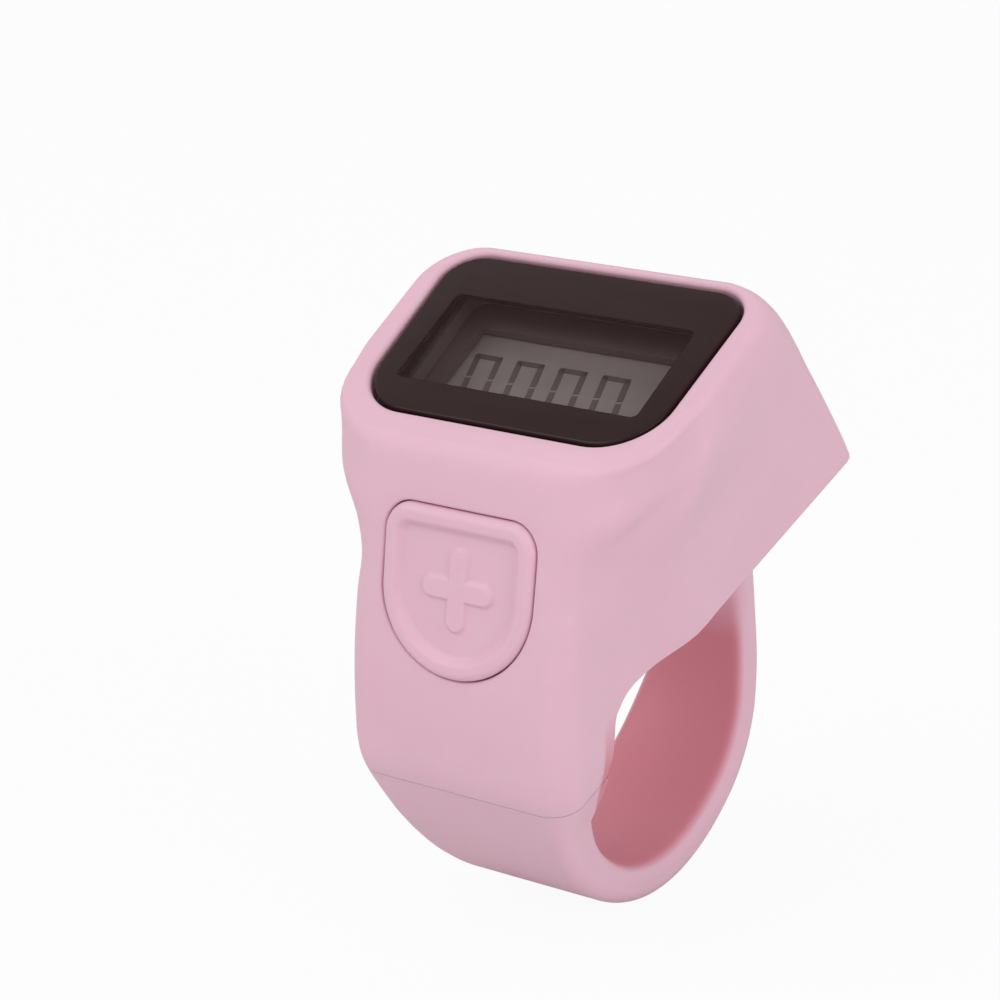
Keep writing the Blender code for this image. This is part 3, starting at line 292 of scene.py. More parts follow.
LENS_LOW, LENS_HIGH = head_corners("window_lens")
TAPE_LOW = head_corners("lens_tape")[0]
BEZEL_LOW, BEZEL_HIGH = head_corners("display_frame")
FILM_LOW, FILM_HIGH = head_corners("display_front_film")
BOARD_LOW = head_corners("main_board")[0]
CELL_LOW, CELL_HIGH = head_corners("button_cell")
DOOR_LOW, DOOR_HIGH = head_corners("battery_door")
SCREWS = [head_corners(f"plate_screw_{index + 1}") for index in range(4)]
KEY_LOW, KEY_HIGH = [Vector(corner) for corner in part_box("count_button")]

WINDOW_CENTRE = (LENS_LOW.y + LENS_HIGH.y) / 2
WINDOW_SIZE = (WINDOW_WIDTH, LENS_HIGH.y - LENS_LOW.y)
LEDGE_TOP = TAPE_LOW.z - SEAT_GAP
LEDGE_BOTTOM = LEDGE_TOP - LEDGE_THICKNESS
FRONT_INNER = FRONT_REACH - FRONT_WALL
BAND_RADIUS = BORE_RADIUS + BAND_WALL
PLATE_TOP = HEAD_ROOF + PLATE_THICKNESS
CELL_CENTRE = (CELL_LOW.y + CELL_HIGH.y) / 2
CELL_RADIUS = (CELL_HIGH.x - CELL_LOW.x) / 2
DOOR_RADIUS = (DOOR_HIGH.x - DOOR_LOW.x) / 2
CUP_INNER = CELL_RADIUS + CELL_CLEARANCE
CUP_OUTER = CUP_INNER + CELL_WALL
LUG_BOTTOM = PLATE_TOP + SEAT_GAP
LUG_TOP = LUG_BOTTOM + LUG_THICKNESS
KEY_MIDDLE = KEY_LOW.y + KEY_HEIGHT / 2 * math.sin(KEY_LEAN)
FLANGE_BACK = KEY_HIGH.y - NUB_HEIGHT
FLANGE_FRONT = FLANGE_BACK - KEY_FLANGE
SKIN_BACK = SKIN - FRONT_REACH
POCKET_BACK = -FRONT_INNER - INNER_WALL


def length_setting(name, size, description):
    """A length for the user to change, given in millimetres."""
    return FloatProperty(
        name=name, description=description, default=size * MM, unit="LENGTH", precision=5
    )


def angle_setting(name, degrees, description):
    """An angle for the user to change, given in degrees."""
    return FloatProperty(
        name=name, description=description, default=math.radians(degrees), subtype="ANGLE"
    )


def colour_setting(name, tone, description):
    """An opaque colour for the user to change."""
    return FloatVectorProperty(
        name=name, description=description, default=(*tone, 1.0), subtype="COLOR", size=4,
        min=0.0, max=1.0,
    )


class ShellSettings(bpy.types.PropertyGroup):
    """Edges of the two body shells."""

    window_lip: length_setting("Window lip", 0.35, "Radius of the edge round the window's pocket")
    key_lip: length_setting("Key lip", 0.16, "Radius of the edge round the key's opening")
    finger_edge: length_setting("Finger edge", 0.45, "Radius of the front wall's inner edges")
    roof_edge: length_setting("Roof edge", 0.18, "Radius of the finger space's upper side edges")
    back_edge: length_setting("Back edge", 0.3, "Radius of the head's lower back edge")


class KeySettings(bpy.types.PropertyGroup):
    """Face of the count key."""

    fit: length_setting("Fit", 0.13, "How much closer the key comes to its opening")
    top_trim: length_setting("Top trim", 0.75, "How far the key's top stays below its solid's")
    side_trim: length_setting("Side trim", 0.15, "How far the other edges stay inside the solid's")
    edge: length_setting("Outer edge", 0.5, "Radius of the key's outer edge")
    rim: length_setting("Rim", 1.35, "Width of the raised rim")
    dish: length_setting("Dish", 0.42, "Depth of the field inside the rim")
    mark_length: length_setting("Mark length", 4.5, "Length of the plus sign's bars")
    mark_width: length_setting("Mark width", 1.15, "Width of the plus sign's bars")
    mark_height: length_setting("Mark height", 0.2, "Height of the plus sign over the dish")


class WindowSettings(bpy.types.PropertyGroup):
    """Smoked window."""

    inset: length_setting("Inset", 0.08, "Extra gap round the window")
    bevel: length_setting("Bevel", 0.16, "Radius of the window's upper edge")
    tint: colour_setting("Tint", (0.055, 0.022, 0.022), "Colour of the smoked window")
    opacity: FloatProperty(
        name="Opacity", description="How much of the light the smoke holds back",
        default=0.26, min=0.0, max=1.0, subtype="FACTOR",
    )
    border_depth: length_setting("Border depth", 0.3, "Thickness of the printed border")
    view_width: length_setting("View width", 15.4, "Width of the clear field in the border")
    view_length: length_setting("View length", 6.9, "Length of the clear field in the border")


class DisplaySettings(bpy.types.PropertyGroup):
    """Counted number on the display."""

    number: IntProperty(name="Number", description="Number shown", default=0, min=0)
    places: IntProperty(name="Places", description="Digit places in the row", default=4)
    height: length_setting("Digit height", 3.7, "Height of a digit")
    pitch: length_setting("Pitch", 2.8, "Distance from digit to digit")
    width: length_setting("Digit width", 1.45, "Distance between a digit's upright segments")
    margin: length_setting("Right margin", 4.1, "Distance from the last digit to the film's end")
    stroke: length_setting("Stroke", 0.36, "Width of a digit's segments")
    slant: angle_setting("Slant", -12.0, "Lean of the digits")


class FinishSettings(bpy.types.PropertyGroup):
    """Colours of the plastics, and of the painted shade in the bore."""

    pink: colour_setting("Pink", (0.79, 0.495, 0.598), "Colour of the body's plastic")
    # Painted shade: a deeper, redder pink that stands in for shade and bounced light inside the
    # bore
    inner_pink: colour_setting("Inner pink", (0.68, 0.25, 0.31), "Colour in the finger's bore")
    face: colour_setting("Display face", (0.36, 0.305, 0.295), "Colour of the display's film")


class StageSettings(bpy.types.PropertyGroup):
    """Camera and lamps."""

    azimuth: angle_setting("Azimuth", 34.5, "Camera's turn round the object")
    elevation: angle_setting("Elevation", 17.1, "Camera's height over the horizon")
    lens: FloatProperty(name="Lens", description="Focal length in millimetres", default=108.0)
    place: FloatVectorProperty(
        name="Place", description="Camera's place", subtype="XYZ_LENGTH",
        default=(86.42 * MM, -136.16 * MM, 59.12 * MM),
    )
    key_power: FloatProperty(name="Key lamp", description="Power of the key lamp", default=0.88)
    fill_power: FloatProperty(name="Fill lamp", description="Power of the fill lamp", default=0.76)
    sky: FloatProperty(name="Sky", description="Strength of the even light", default=0.66)


# Node trees


class Value:
    """A socket on which Python arithmetic adds Math nodes."""

    def __init__(self, tree, socket):
        self.tree = tree
        self.socket = socket

    def math(self, operation, *others):
        """Add a Math node that takes this value first."""
        values = dict(enumerate((self, *others)))
        return self.tree.value("ShaderNodeMath", values, operation=operation)

    def __add__(self, other):
        return self.math("ADD", other)

    def __sub__(self, other):
        return self.math("SUBTRACT", other)

    def __rsub__(self, other):
        return self * -1.0 + other

    def __mul__(self, other):
        return self.math("MULTIPLY", other)

    def __mod__(self, other):
        return self.math("FLOORED_MODULO", other)

    def __lt__(self, other):
        return self.math("LESS_THAN", other)

    def __gt__(self, other):
        return self.math("GREATER_THAN", other)

    def clamped(self):
        """Keep the value from 0 to 1."""
        return self.math("MINIMUM", 1.0).math("MAXIMUM", 0.0)

    __radd__ = __add__
    __rmul__ = __mul__


class Tree:
    """A node tree whose nodes all come from one method."""

    def __init__(self, tree):
        self.nodes = tree.nodes
        self.links = tree.links

    def node(self, kind, values=None, **settings):
        """Add a node, set it up, then fill its sockets."""
        node = self.nodes.new(kind)
        for name, setting in settings.items():
            setattr(node, name, setting)
        self.fill(node, values or {})
        return node

    def fill(self, node, values):
        """Put numbers, colours, a link or a list of links into a node's sockets."""
        for name, value in values.items():
            links = value if isinstance(value, list) else [value]
            if isinstance(links[0], Value):
                for link in links:
                    self.links.new(link.socket, node.inputs[name])
            else:
                node.inputs[name].default_value = value

    def value(self, kind, values=None, output=0, **settings):
        """Add a node and give one of its outputs."""
        return Value(self, self.node(kind, values, **settings).outputs[output])


class Finish(Tree):
    """One procedural material, with the place on the object as its coordinates."""

    def __init__(self, name):
        self.material = bpy.data.materials.new(f"{name}_finish")
        self.material.use_nodes = True
        super().__init__(self.material.node_tree)
        self.shader = self.nodes["Principled BSDF"]
        self.place = self.value("ShaderNodeTexCoord", output="Object")

    def axes(self):
        """The object's x, y and z."""
        split = self.node("ShaderNodeSeparateXYZ", {0: self.place})
        return [Value(self, socket) for socket in split.outputs]

    def noise(self, scale, detail=3.0, roughness=0.5, stretch=None):
        """Noise with a feature size of one over the scale, from 0 to 1."""
        place = self.place
        if stretch:
            place = self.value("ShaderNodeMapping", {"Vector": place, "Scale": stretch})
        values = {"Vector": place, "Scale": scale, "Detail": detail, "Roughness": roughness}
        return self.value("ShaderNodeTexNoise", values)

    def cells(self, scale):
        """Distance to the cells of a Voronoi pattern."""
        values = {"Vector": self.place, "Scale": scale}
        return self.value("ShaderNodeTexVoronoi", values, "Distance")

    def mix(self, factor, *tones):
        """Mix two colours."""
        first, second = [tone if isinstance(tone, Value) else shade(tone) for tone in tones]
        values = {0: factor, 6: first, 7: second}
        return self.value("ShaderNodeMix", values, 2, data_type="RGBA")

    def bump(self, height, distance, strength):
        """Turn a height into a normal."""
        values = {"Height": height, "Distance": distance, "Strength": strength}
        return self.value("ShaderNodeBump", values)

    def set(self, **values):
        """Fill the shader's sockets, with underscores for the blanks in their names."""
        self.fill(self.shader, {name.replace("_", " "): v for name, v in values.items()})
        return self.material


def shade(colour, share=1.0):
    """A colour made darker or lighter, and opaque."""
    return (*[min(part * share, 1.0) for part in colour[:3]], 1.0)


def fading(value, end, width):
    """A mask that is 1 under a value's end and fades to 0 there."""
    return ((end - value) * (1.0 / width)).clamped()


# Finishes


def pink_plastic(finish):
    """Satin moulded plastic: fine spark texture, faint clouds, redder painted shade in the bore.
    """
    colours = bpy.context.scene.counter_finish
    outside = finish.mix(
        finish.noise(170.0, 2.0), shade(colours.pink, 0.965), shade(colours.pink, 1.03)
    )
    # Painted shade and bounced light: inside the bore, most of all low down, the pink turns redder
    _, y, z = finish.axes()
    away = (y * y + z * z).math("SQRT")
    shade_in_bore = fading(away, BORE_RADIUS + BORE_SHADE_REACH, BORE_SHADE_EDGE)
    inner = shade_in_bore * fading(z, BORE_SHADE_TOP, BORE_SHADE_FADE)
    relief = finish.noise(9000.0, 2.0, 0.6) * 0.6 + finish.cells(5200.0) * 0.5
    return finish.set(
        Base_Color=finish.mix(inner, outside, colours.inner_pink),
        Roughness=finish.noise(420.0, 3.0) * 0.10 + 0.42,
        Normal=finish.bump(relief, 0.004 * MM, 0.55),
        Subsurface_Weight=0.22,
        Subsurface_Radius=(1.0, 0.32, 0.36),
        Subsurface_Scale=0.9 * MM,
        Specular_IOR_Level=0.42,
    )


def smoked_window(finish, opacity=None, share=1.0):
    """Dark polished window that lets some light through, or its printed border."""
    window = bpy.context.scene.counter_window
    smears = finish.noise(260.0, 3.0, 0.6, (1.0, 2.2, 1.0))
    dark, light = [shade(window.tint, tone * share) for tone in (0.8, 1.25)]
    return finish.set(
        Base_Color=finish.mix(smears, dark, light),
        Roughness=smears * 0.10 + 0.05,
        Normal=finish.bump(finish.noise(900.0, 2.0), 0.002 * MM, 0.3),
        Alpha=window.opacity if opacity is None else opacity,
        Specular_IOR_Level=0.17,
    )


def display_face(finish):
    """The display's film: grey brown with faint streaks along the row."""
    colour = bpy.context.scene.counter_finish.face
    streaks = finish.noise(700.0, 4.0, 0.6, (0.12, 1.0, 1.0))
    clouds = finish.noise(300.0, 2.0)
    tone = streaks * 0.6 + clouds * 0.4
    return finish.set(
        Base_Color=finish.mix(tone, shade(colour, 0.72), shade(colour, 1.25)),
        Roughness=clouds * 0.2 + 0.3,
        Normal=finish.bump(streaks, 0.004 * MM, 0.3),
    )


def digit_ink(finish):
    """Dark digits of a liquid crystal."""
    clouds = finish.noise(900.0, 2.0)
    return finish.set(
        Base_Color=finish.mix(clouds, (0.13, 0.108, 0.104), (0.17, 0.142, 0.138)),
        Roughness=clouds * 0.1 + 0.3,
    )


def display_glass(finish):
    """Thin glass of the display."""
    smears = finish.noise(220.0, 3.0, 0.6)
    return finish.set(
        Base_Color=finish.mix(smears, (0.28, 0.29, 0.26), (0.36, 0.37, 0.34)),
        Roughness=smears * 0.08 + 0.04,
        Alpha=0.6,
    )


def circuit_board(finish):
    """Green solder resist over copper tracks."""
    x, y, _ = finish.axes()
    wander = finish.noise(500.0, 1.0) * (0.4 * MM)
    tracks = ((x + wander) % (0.8 * MM)) < 0.25 * MM
    cross = ((y + wander) % (1.9 * MM)) < 0.3 * MM
    copper = tracks.math("MAXIMUM", cross)
    return finish.set(
        Base_Color=finish.mix(copper, (0.012, 0.11, 0.045), (0.03, 0.22, 0.07)),
        Roughness=finish.noise(1500.0) * 0.1 + 0.32,
        Normal=finish.bump(copper, 0.02 * MM, 0.6),
    )


def moulded(finish, dark, light, rough):
    """A plain moulded plastic, rubber or resin with fine grain."""
    grain = finish.noise(3500.0, 3.0)
    return finish.set(
        Base_Color=finish.mix(finish.noise(350.0), dark, light),
        Roughness=grain * 0.15 + rough,
        Normal=finish.bump(grain, 0.006 * MM, 0.4),
    )


def rolled_metal(finish, dark, light, rough):
    """Plated or rolled metal with fine lines."""
    lines = finish.noise(2600.0, 4.0, 0.6, (0.08, 1.0, 1.0))
    stains = finish.noise(420.0, 2.0)
    return finish.set(
        Base_Color=finish.mix(stains, dark, light),
        Metallic=1.0,
        Roughness=lines * 0.16 + rough,
        Normal=finish.bump(lines, 0.003 * MM, 0.4),
    )


def striped(finish, ground, strip, period, grain, spread, rough):
    """Strips across x, each half a period wide."""
    strips = (finish.axes()[0] % period) < period / 2
    return finish.set(
        Base_Color=finish.mix(strips, ground, strip),
        Roughness=finish.noise(grain) * spread + rough,
        Normal=finish.bump(strips, 0.01 * MM, 0.4),
    )


# The function that makes each finish, and what it is given after the finish
FINISHES = {
    "pink_plastic": (pink_plastic,),
    "smoked_window": (smoked_window,),
    "window_underside": (smoked_window, 0.03),
    "window_border": (smoked_window, 1.0, 0.5),
    "display_face": (display_face,),
    "digit_ink": (digit_ink,),
    "display_glass": (display_glass,),
    "circuit_board": (circuit_board,),
    "bezel_plastic": (moulded, (0.135, 0.10, 0.098), (0.19, 0.145, 0.14), 0.5),
    "black_plastic": (moulded, (0.010, 0.009, 0.009), (0.018, 0.016, 0.016), 0.4),
    "black_resin": (moulded, (0.012, 0.012, 0.013), (0.022, 0.022, 0.022), 0.25),
    "adhesive_tape": (moulded, (0.02, 0.02, 0.02), (0.05, 0.045, 0.045), 0.75),
    "ceramic_chip": (moulded, (0.36, 0.26, 0.19), (0.48, 0.38, 0.28), 0.45),
    "bright_steel": (rolled_metal, (0.58, 0.58, 0.60), (0.74, 0.74, 0.76), 0.18),
    "reflector_film": (rolled_metal, (0.46, 0.46, 0.44), (0.58, 0.58, 0.55), 0.32),
    "zebra_rubber": (
        striped, (0.62, 0.30, 0.34), (0.03, 0.03, 0.03), 0.18 * MM, 2400.0, 0.2, 0.65
    ),
    "amber_film": (
        striped, (0.55, 0.27, 0.05), (0.62, 0.34, 0.16), 0.5 * MM, 900.0, 0.12, 0.25
    ),
}


def finish_named(name):
    """The named material, made once."""
    maker, *recipe = FINISHES[name]
    return bpy.data.materials.get(f"{name}_finish") or maker(Finish(name), *recipe)


# Outlines and solids


def eased(value):
    """A smooth step from 0 to 1."""
    value = min(max(value, 0.0), 1.0)
    return value * value * (3 - 2 * value)


def turns(end, steps):
    """Even steps of a turn, from 0 to its end."""
    return [end * step / steps for step in range(steps + 1)]


def arc(centre, radius, start, end, steps):
    """Points on an arc, angles in radians."""
    angles = [start + turn for turn in turns(end - start, steps)]
    return [
        (centre[0] + radius * math.cos(angle), centre[1] + radius * math.sin(angle))
        for angle in angles
    ]


def rounded_rectangle(size, radius, centre=(0.0, 0.0), back_radius=None):
    """Outline of a rectangle with round corners, which may differ at its back."""
    half_x, half_y = size[0] / 2, size[1] / 2
    points = []
    for index, (sx, sy) in enumerate(((1, 1), (-1, 1), (-1, -1), (1, -1))):
        corner = back_radius if back_radius and sy > 0 else radius
        middle = (centre[0] + sx * (half_x - corner), centre[1] + sy * (half_y - corner))
        start = index * math.pi / 2
        points += arc(middle, corner, start, start + math.pi / 2, ROUND_STEPS)
    return points


def window_outline(grow):
    """Outline of the window, wider and sharper at its back, grown by a margin."""
    size = [length + 2 * grow for length in WINDOW_SIZE]
    corners = WINDOW_ROUND + grow, (0.0, 0.0), WINDOW_BACK_ROUND + grow
    widen = 4 * WINDOW_TAPER / (size[0] * size[1])
    points = rounded_rectangle(size, *corners)
    return [(x * (1 + widen * u), WINDOW_CENTRE + u) for x, u in points]


def circle(radius, centre=(0.0, 0.0)):
    """Outline of a circle."""
    return arc(centre, radius, 0.0, 2 * math.pi, 4 * ROUND_STEPS)[:-1]


def to_world(u, n):
    """Turn a place in the head's frame into world y and z."""
    cosine, sine = math.cos(HEAD_TILT), math.sin(HEAD_TILT)
    return (u * cosine - n * sine, u * sine + n * cosine)


def to_head(y, z):
    """Turn world y and z into a place in the head's frame."""
    cosine, sine = math.cos(HEAD_TILT), math.sin(HEAD_TILT)
    return (y * cosine + z * sine, z * cosine - y * sine)


def add_object(name, data):
    """Link a new object to the scene."""
    obj = bpy.data.objects.new(name, data)
    bpy.context.scene.collection.objects.link(obj)
    return obj


def add_points(name, points):
    """A mesh of loose points for a node tree to put pieces on."""
    mesh = bpy.data.meshes.new(name)
    mesh.from_pydata(points, [], [])
    return add_object(name, mesh)


def add_piece(name, bm):
    """Add a bmesh as an object at the origin."""
    bmesh.ops.remove_doubles(bm, verts=bm.verts, dist=WELD / 2)
    bmesh.ops.recalc_face_normals(bm, faces=bm.faces)
    mesh = bpy.data.meshes.new(name)
    bm.to_mesh(mesh)
    bm.free()
    return add_object(name, mesh)


def skin(name, rings):
    """A closed solid through rings of equal count, with flat ends."""
    bm = bmesh.new()
    loops = [[bm.verts.new(point) for point in ring] for ring in rings]
    for lower, upper in zip(loops, loops[1:]):
        for i in range(len(lower)):
            j = (i + 1) % len(lower)
            bm.faces.new((lower[i], lower[j], upper[j], upper[i]))
    bm.faces.new(loops[0])
    bm.faces.new(list(reversed(loops[-1])))
    return add_piece(name, bm)


def stack(name, layers, frame):
    """A solid through flat outlines, each with its height, turned into place."""
    rings = [[frame @ Vector((x, y, height)) for x, y in ring] for ring, height in layers]
    return skin(name, rings)


def prism(name, outline, low, high, frame=HEAD):
    """A flat outline pulled between two heights."""
    return stack(name, [(outline, low), (outline, high)], frame)


def block(name, low, high, frame=HEAD):
    """A box between two corners."""
    outline = [(low[0], low[1]), (high[0], low[1]), (high[0], high[1]), (low[0], high[1])]
    return prism(name, outline, low[2], high[2], frame)


def shape(target, cutter, operation="DIFFERENCE"):
    """Cut or join one object with another, which goes."""
    modifier = target.modifiers.new(cutter.name, "BOOLEAN")
    modifier.operation = operation
    modifier.solver = "EXACT"
    modifier.object = cutter
    settle(target)
    bpy.data.objects.remove(cutter, do_unlink=True)


def settle(obj):
    """Turn an object with modifiers into a plain mesh."""
    bpy.context.view_layer.update()
    evaluated = obj.evaluated_get(bpy.context.evaluated_depsgraph_get())
    mesh = bpy.data.meshes.new_from_object(evaluated)
    obj.modifiers.clear()
    obj.data = mesh


def dress(obj, body, finish, slot, *nodes):
    """Give a finished piece its material and its body, and hide the imported nodes it stands for;
    its slot is not used.
    """
    if finish:
        obj.data.materials.clear()
        obj.data.materials.append(finish_named(finish))
    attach(obj, body)
    if nodes:
        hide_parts(*nodes)


def smooth(obj, angle=32.0):
    """Shade smooth and keep edges over an angle sharp."""
    obj.data.shade_smooth()
    obj.data.set_sharp_from_angle(angle=math.radians(angle))


def surface_of(obj):
    """A search tree of an object's faces."""
    bm = bmesh.new()
    bm.from_mesh(obj.data)
    tree = BVHTree.FromBMesh(bm)
    bm.free()
    return tree


# Shells


def half_outline(start, end, half_at, front_round, back_round):
    """Half of a section, from its front middle round the side to its back middle."""
    first, last = start + front_round, end - back_round
    front = (half_at(first) - front_round, first)
    back = (half_at(last) - back_round, last)
    points = [(0.0, start)]
    points += arc(front, front_round, -math.pi / 2, 0.0, ARC_STEPS)
    for step in range(1, SIDE_STEPS):
        place = first + (last - first) * step / SIDE_STEPS
        points.append((half_at(place), place))
    points += arc(back, back_round, 0.0, math.pi / 2, ARC_STEPS)
    points.append((0.0, end))
    return points


def head_widths(level, inset=0.0):
    """Half width of the head along u: narrow nose, neck, then a widening box."""
    half = HEAD_WIDTH / 2
    nose, wide, back = [half * part - inset for part in (level.nose, level.wide, level.back)]
    start, end = half * level.neck_start, half * level.neck_end

    def half_at(u):
        flare = eased((u - start) / (end - start))
        along = (u - end) / (HEAD_BACK - end)
        taper = min((along + math.hypot(along, TAPER_SOFT)) / 2, 1.0)
        return nose + (wide + (back - wide) * taper - nose) * flare

    return half_at


def filled(points, middle):
    """Points with the inward corner at one of them filled with a soft curve."""
    made = [Vector(point) for point in points]
    for _ in range(FILL_ROUNDS):
        before = [point.copy() for point in made]
        for index in range(middle - FILL_REACH, middle + FILL_REACH + 1):
            share = 1 - abs(index - middle) / (FILL_REACH + 1)
            midway = (before[index - 1] + before[index + 1]) / 2
            if midway.x > before[index].x:
                made[index] = before[index].lerp(midway, share / 2)
    return [tuple(point) for point in made]


def head_outline(level):
    """Half of one level of the head, as points in the world."""
    n = HEAD_ROOF + (HEAD_TOP - HEAD_ROOF) * level.height
    start = (n * math.sin(HEAD_TILT) - FRONT_REACH * level.reach) / math.cos(HEAD_TILT)
    rounds = HEAD_WIDTH / 2 * level.corner, HEAD_BACK * level.rear_corner
    points = half_outline(start, HEAD_BACK * level.rear, head_widths(level), *rounds)
    return [Vector((x, *to_world(u, n))) for x, u in filled(points, ARC_STEPS + 1)]


def curve_weights(part):
    """Shares of four neighbours in a point on a smooth curve between the middle two."""
    return (
        (-part + 2 * part ** 2 - part ** 3) / 2,
        (2 - 5 * part ** 2 + 3 * part ** 3) / 2,
        (part + 4 * part ** 2 - 3 * part ** 3) / 2,
        (part ** 3 - part ** 2) / 2,
    )


def between(sections, index, part):
    """A section between two listed ones, on smooth curves through those around it."""
    count = len(sections) - 1
    picked = [sections[min(max(index + shift, 0), count)] for shift in (-1, 0, 1, 2)]
    weights = curve_weights(part)
    return [
        sum((point * weight for point, weight in zip(points, weights)), Vector((0, 0, 0)))
        for points in zip(*picked)
    ]


def refined(sections, steps):
    """All sections with smooth ones between them."""
    made = []
    for index in range(len(sections) - 1):
        made += [between(sections, index, step / steps) for step in range(steps)]
    return made + [sections[-1]]


def shoulder_section(rise=0.0):
    """The section at the seam, half way from the head's tilt to the band's."""
    reach = FRONT_REACH * SHOULDER_REACH_SHARE
    place = Vector((0.0, -reach, reach * math.tan(math.pi - SEAM_ANGLE) + rise))
    slope = (HEAD_TILT + math.radians(BAND_STATION_SHARES[0][0]) - math.pi) / 2
    inward = Vector((0.0, math.cos(slope), math.sin(slope)))
    half = BODY_WIDTH / 2 * SHOULDER_WIDTH_SHARE
    depth = FRONT_WALL + OVERRUN
    points = half_outline(0.0, depth, lambda v: half, BODY_ROUND, BODY_ROUND)
    return [place + inward * v + Vector((x, 0.0, 0.0)) for x, v in points]


def band_section(station):
    """One station round the band."""
    degrees, outer_share, width_share = station
    angle = math.radians(degrees)
    outer = BAND_RADIUS * outer_share
    inner = BORE_RADIUS
    if math.cos(angle) < 0:
        inner = min(inner, FRONT_INNER / -math.cos(angle))
    if width_share > BAND_BOTTOM_SHARE:
        lean = (width_share - BAND_BOTTOM_SHARE) / (1 - BAND_BOTTOM_SHARE)
        width = BAND_BOTTOM_WIDTH + (BODY_WIDTH - BAND_BOTTOM_WIDTH) * lean
    else:
        lean = width_share / BAND_BOTTOM_SHARE
        width = BAND_BACK_WIDTH + (BAND_BOTTOM_WIDTH - BAND_BACK_WIDTH) * lean
    outward = Vector((0.0, math.cos(angle), math.sin(angle)))
    edge = min(BAND_ROUND, (outer - inner) * BAND_ROUND_SHARE)
    points = half_outline(0.0, outer - inner, lambda v: width / 2, edge, edge)
    return [outward * (outer - v) + Vector((x, 0.0, 0.0)) for x, v in points]


def band_stations():
    """The band's stations with smooth ones between them."""
    sections = [[Vector(shares)] for shares in BAND_STATION_SHARES]
    return [section[0] for section in refined(sections, STATION_STEPS)]


def closed(half):
    """A half section made whole by its mirror image."""
    return half + [Vector((-point.x, point.y, point.z)) for point in reversed(half[1:-1])]


def column_section():
    """The front column's section just under the head's box."""
    level = HEAD_LEVELS[0]
    height = level.height + COLUMN_STEP_SHARE
    return head_outline(level._replace(height=height, wide=level.nose, back=level.nose))


def housing_rings():
    """Rings of the housing's outside, from the head's top down to below the seam."""
    levels = [head_outline(level) for level in reversed(HEAD_LEVELS)]
    band = [band_section(station) for station in BAND_STATION_SHARES[:2]]
    column, shoulder = column_section(), shoulder_section()
    rings = refined(levels, LEVEL_STEPS)
    neighbours = [levels[-2], column, shoulder, band[0]]
    rings += [between(neighbours, 1, step / LEVEL_STEPS) for step in range(LEVEL_STEPS)]
    rings += [shoulder] + band
    return [closed(ring) for ring in rings]


def band_rings():
    """Rings of the band's outside, from just above the seam round to the head's back."""
    sections = [shoulder_section(BODY_ROUND / 2), shoulder_section()]
    stations = [band_section(station) for station in band_stations()]
    neighbours = [*sections, stations[0], stations[STATION_STEPS]]
    start = [between(neighbours, 1, part) for part in START_PARTS]
    return [closed(ring) for ring in sections + start + stations]


def seam_point(radius, shift):
    """A point on the seam plane, moved along the band's run by a shift."""
    outward = (math.cos(SEAM_ANGLE), math.sin(SEAM_ANGLE))
    along = (-math.sin(SEAM_ANGLE), math.cos(SEAM_ANGLE))
    return (outward[0] * radius + along[0] * shift, outward[1] * radius + along[1] * shift)


def finger_wall_path():
    """Profile of the front wall's inner face and the roof, from the seam to the back."""
    seam_inner = seam_point(FRONT_INNER / -math.cos(SEAM_ANGLE), -SEAM_GAP / 2)
    corner_u = (HEAD_ROOF * math.sin(HEAD_TILT) - FRONT_INNER) / math.cos(HEAD_TILT)
    corner = Vector(to_world(corner_u, HEAD_ROOF))
    tangent = ROOF_FILLET / math.tan((math.pi / 2 + HEAD_TILT) / 2)
    middle = (corner.x + ROOF_FILLET, corner.y - tangent)
    fillet = arc(middle, ROOF_FILLET, math.pi, math.pi / 2 + HEAD_TILT, ROUND_STEPS)
    return [(-FRONT_INNER, seam_inner[1])] + fillet


def finger_space_outline():
    """Profile of the space under the housing."""
    points = [seam_point(FAR, -SEAM_GAP / 2)] + finger_wall_path()
    return points + [to_world(FAR, HEAD_ROOF), (FAR, -FAR), (-FAR, -FAR)]


def band_keep_out_outline():
    """Profile of all that lies above the seam and above the base plate's underside."""
    down = SEAM_GAP / 2
    return [
        seam_point(FAR, down),
        seam_point(BORE_RADIUS / 2, down),
        to_world(0.0, HEAD_ROOF - SEAM_GAP),
        to_world(FAR, HEAD_ROOF - SEAM_GAP),
        to_world(FAR, FAR),
        (-FAR, FAR),
    ]


def front_step_outline():
    """Profile that squares the band's inner face to the front wall's below the seam."""
    start = math.radians(BAND_STATION_SHARES[0][0])
    low = FRONT_INNER * math.tan(start - math.pi)
    return [
        (-FRONT_INNER, -low),
        (-FRONT_INNER + BAND_WALL / 2, -low),
        (-BORE_RADIUS / 2, -low / 2),
        (-BORE_RADIUS / 2, BORE_RADIUS / 2),
        (-FRONT_INNER, BORE_RADIUS / 2),
    ]


def plan_outline(level, inset, start, end):
    """Plan of the head's inside at one level, inset from its wall."""
    corner = BODY_ROUND / 2
    side = half_outline(start, end, head_widths(level, inset), corner, corner)[1:-1]
    return side + [(-x, u) for x, u in reversed(side)]


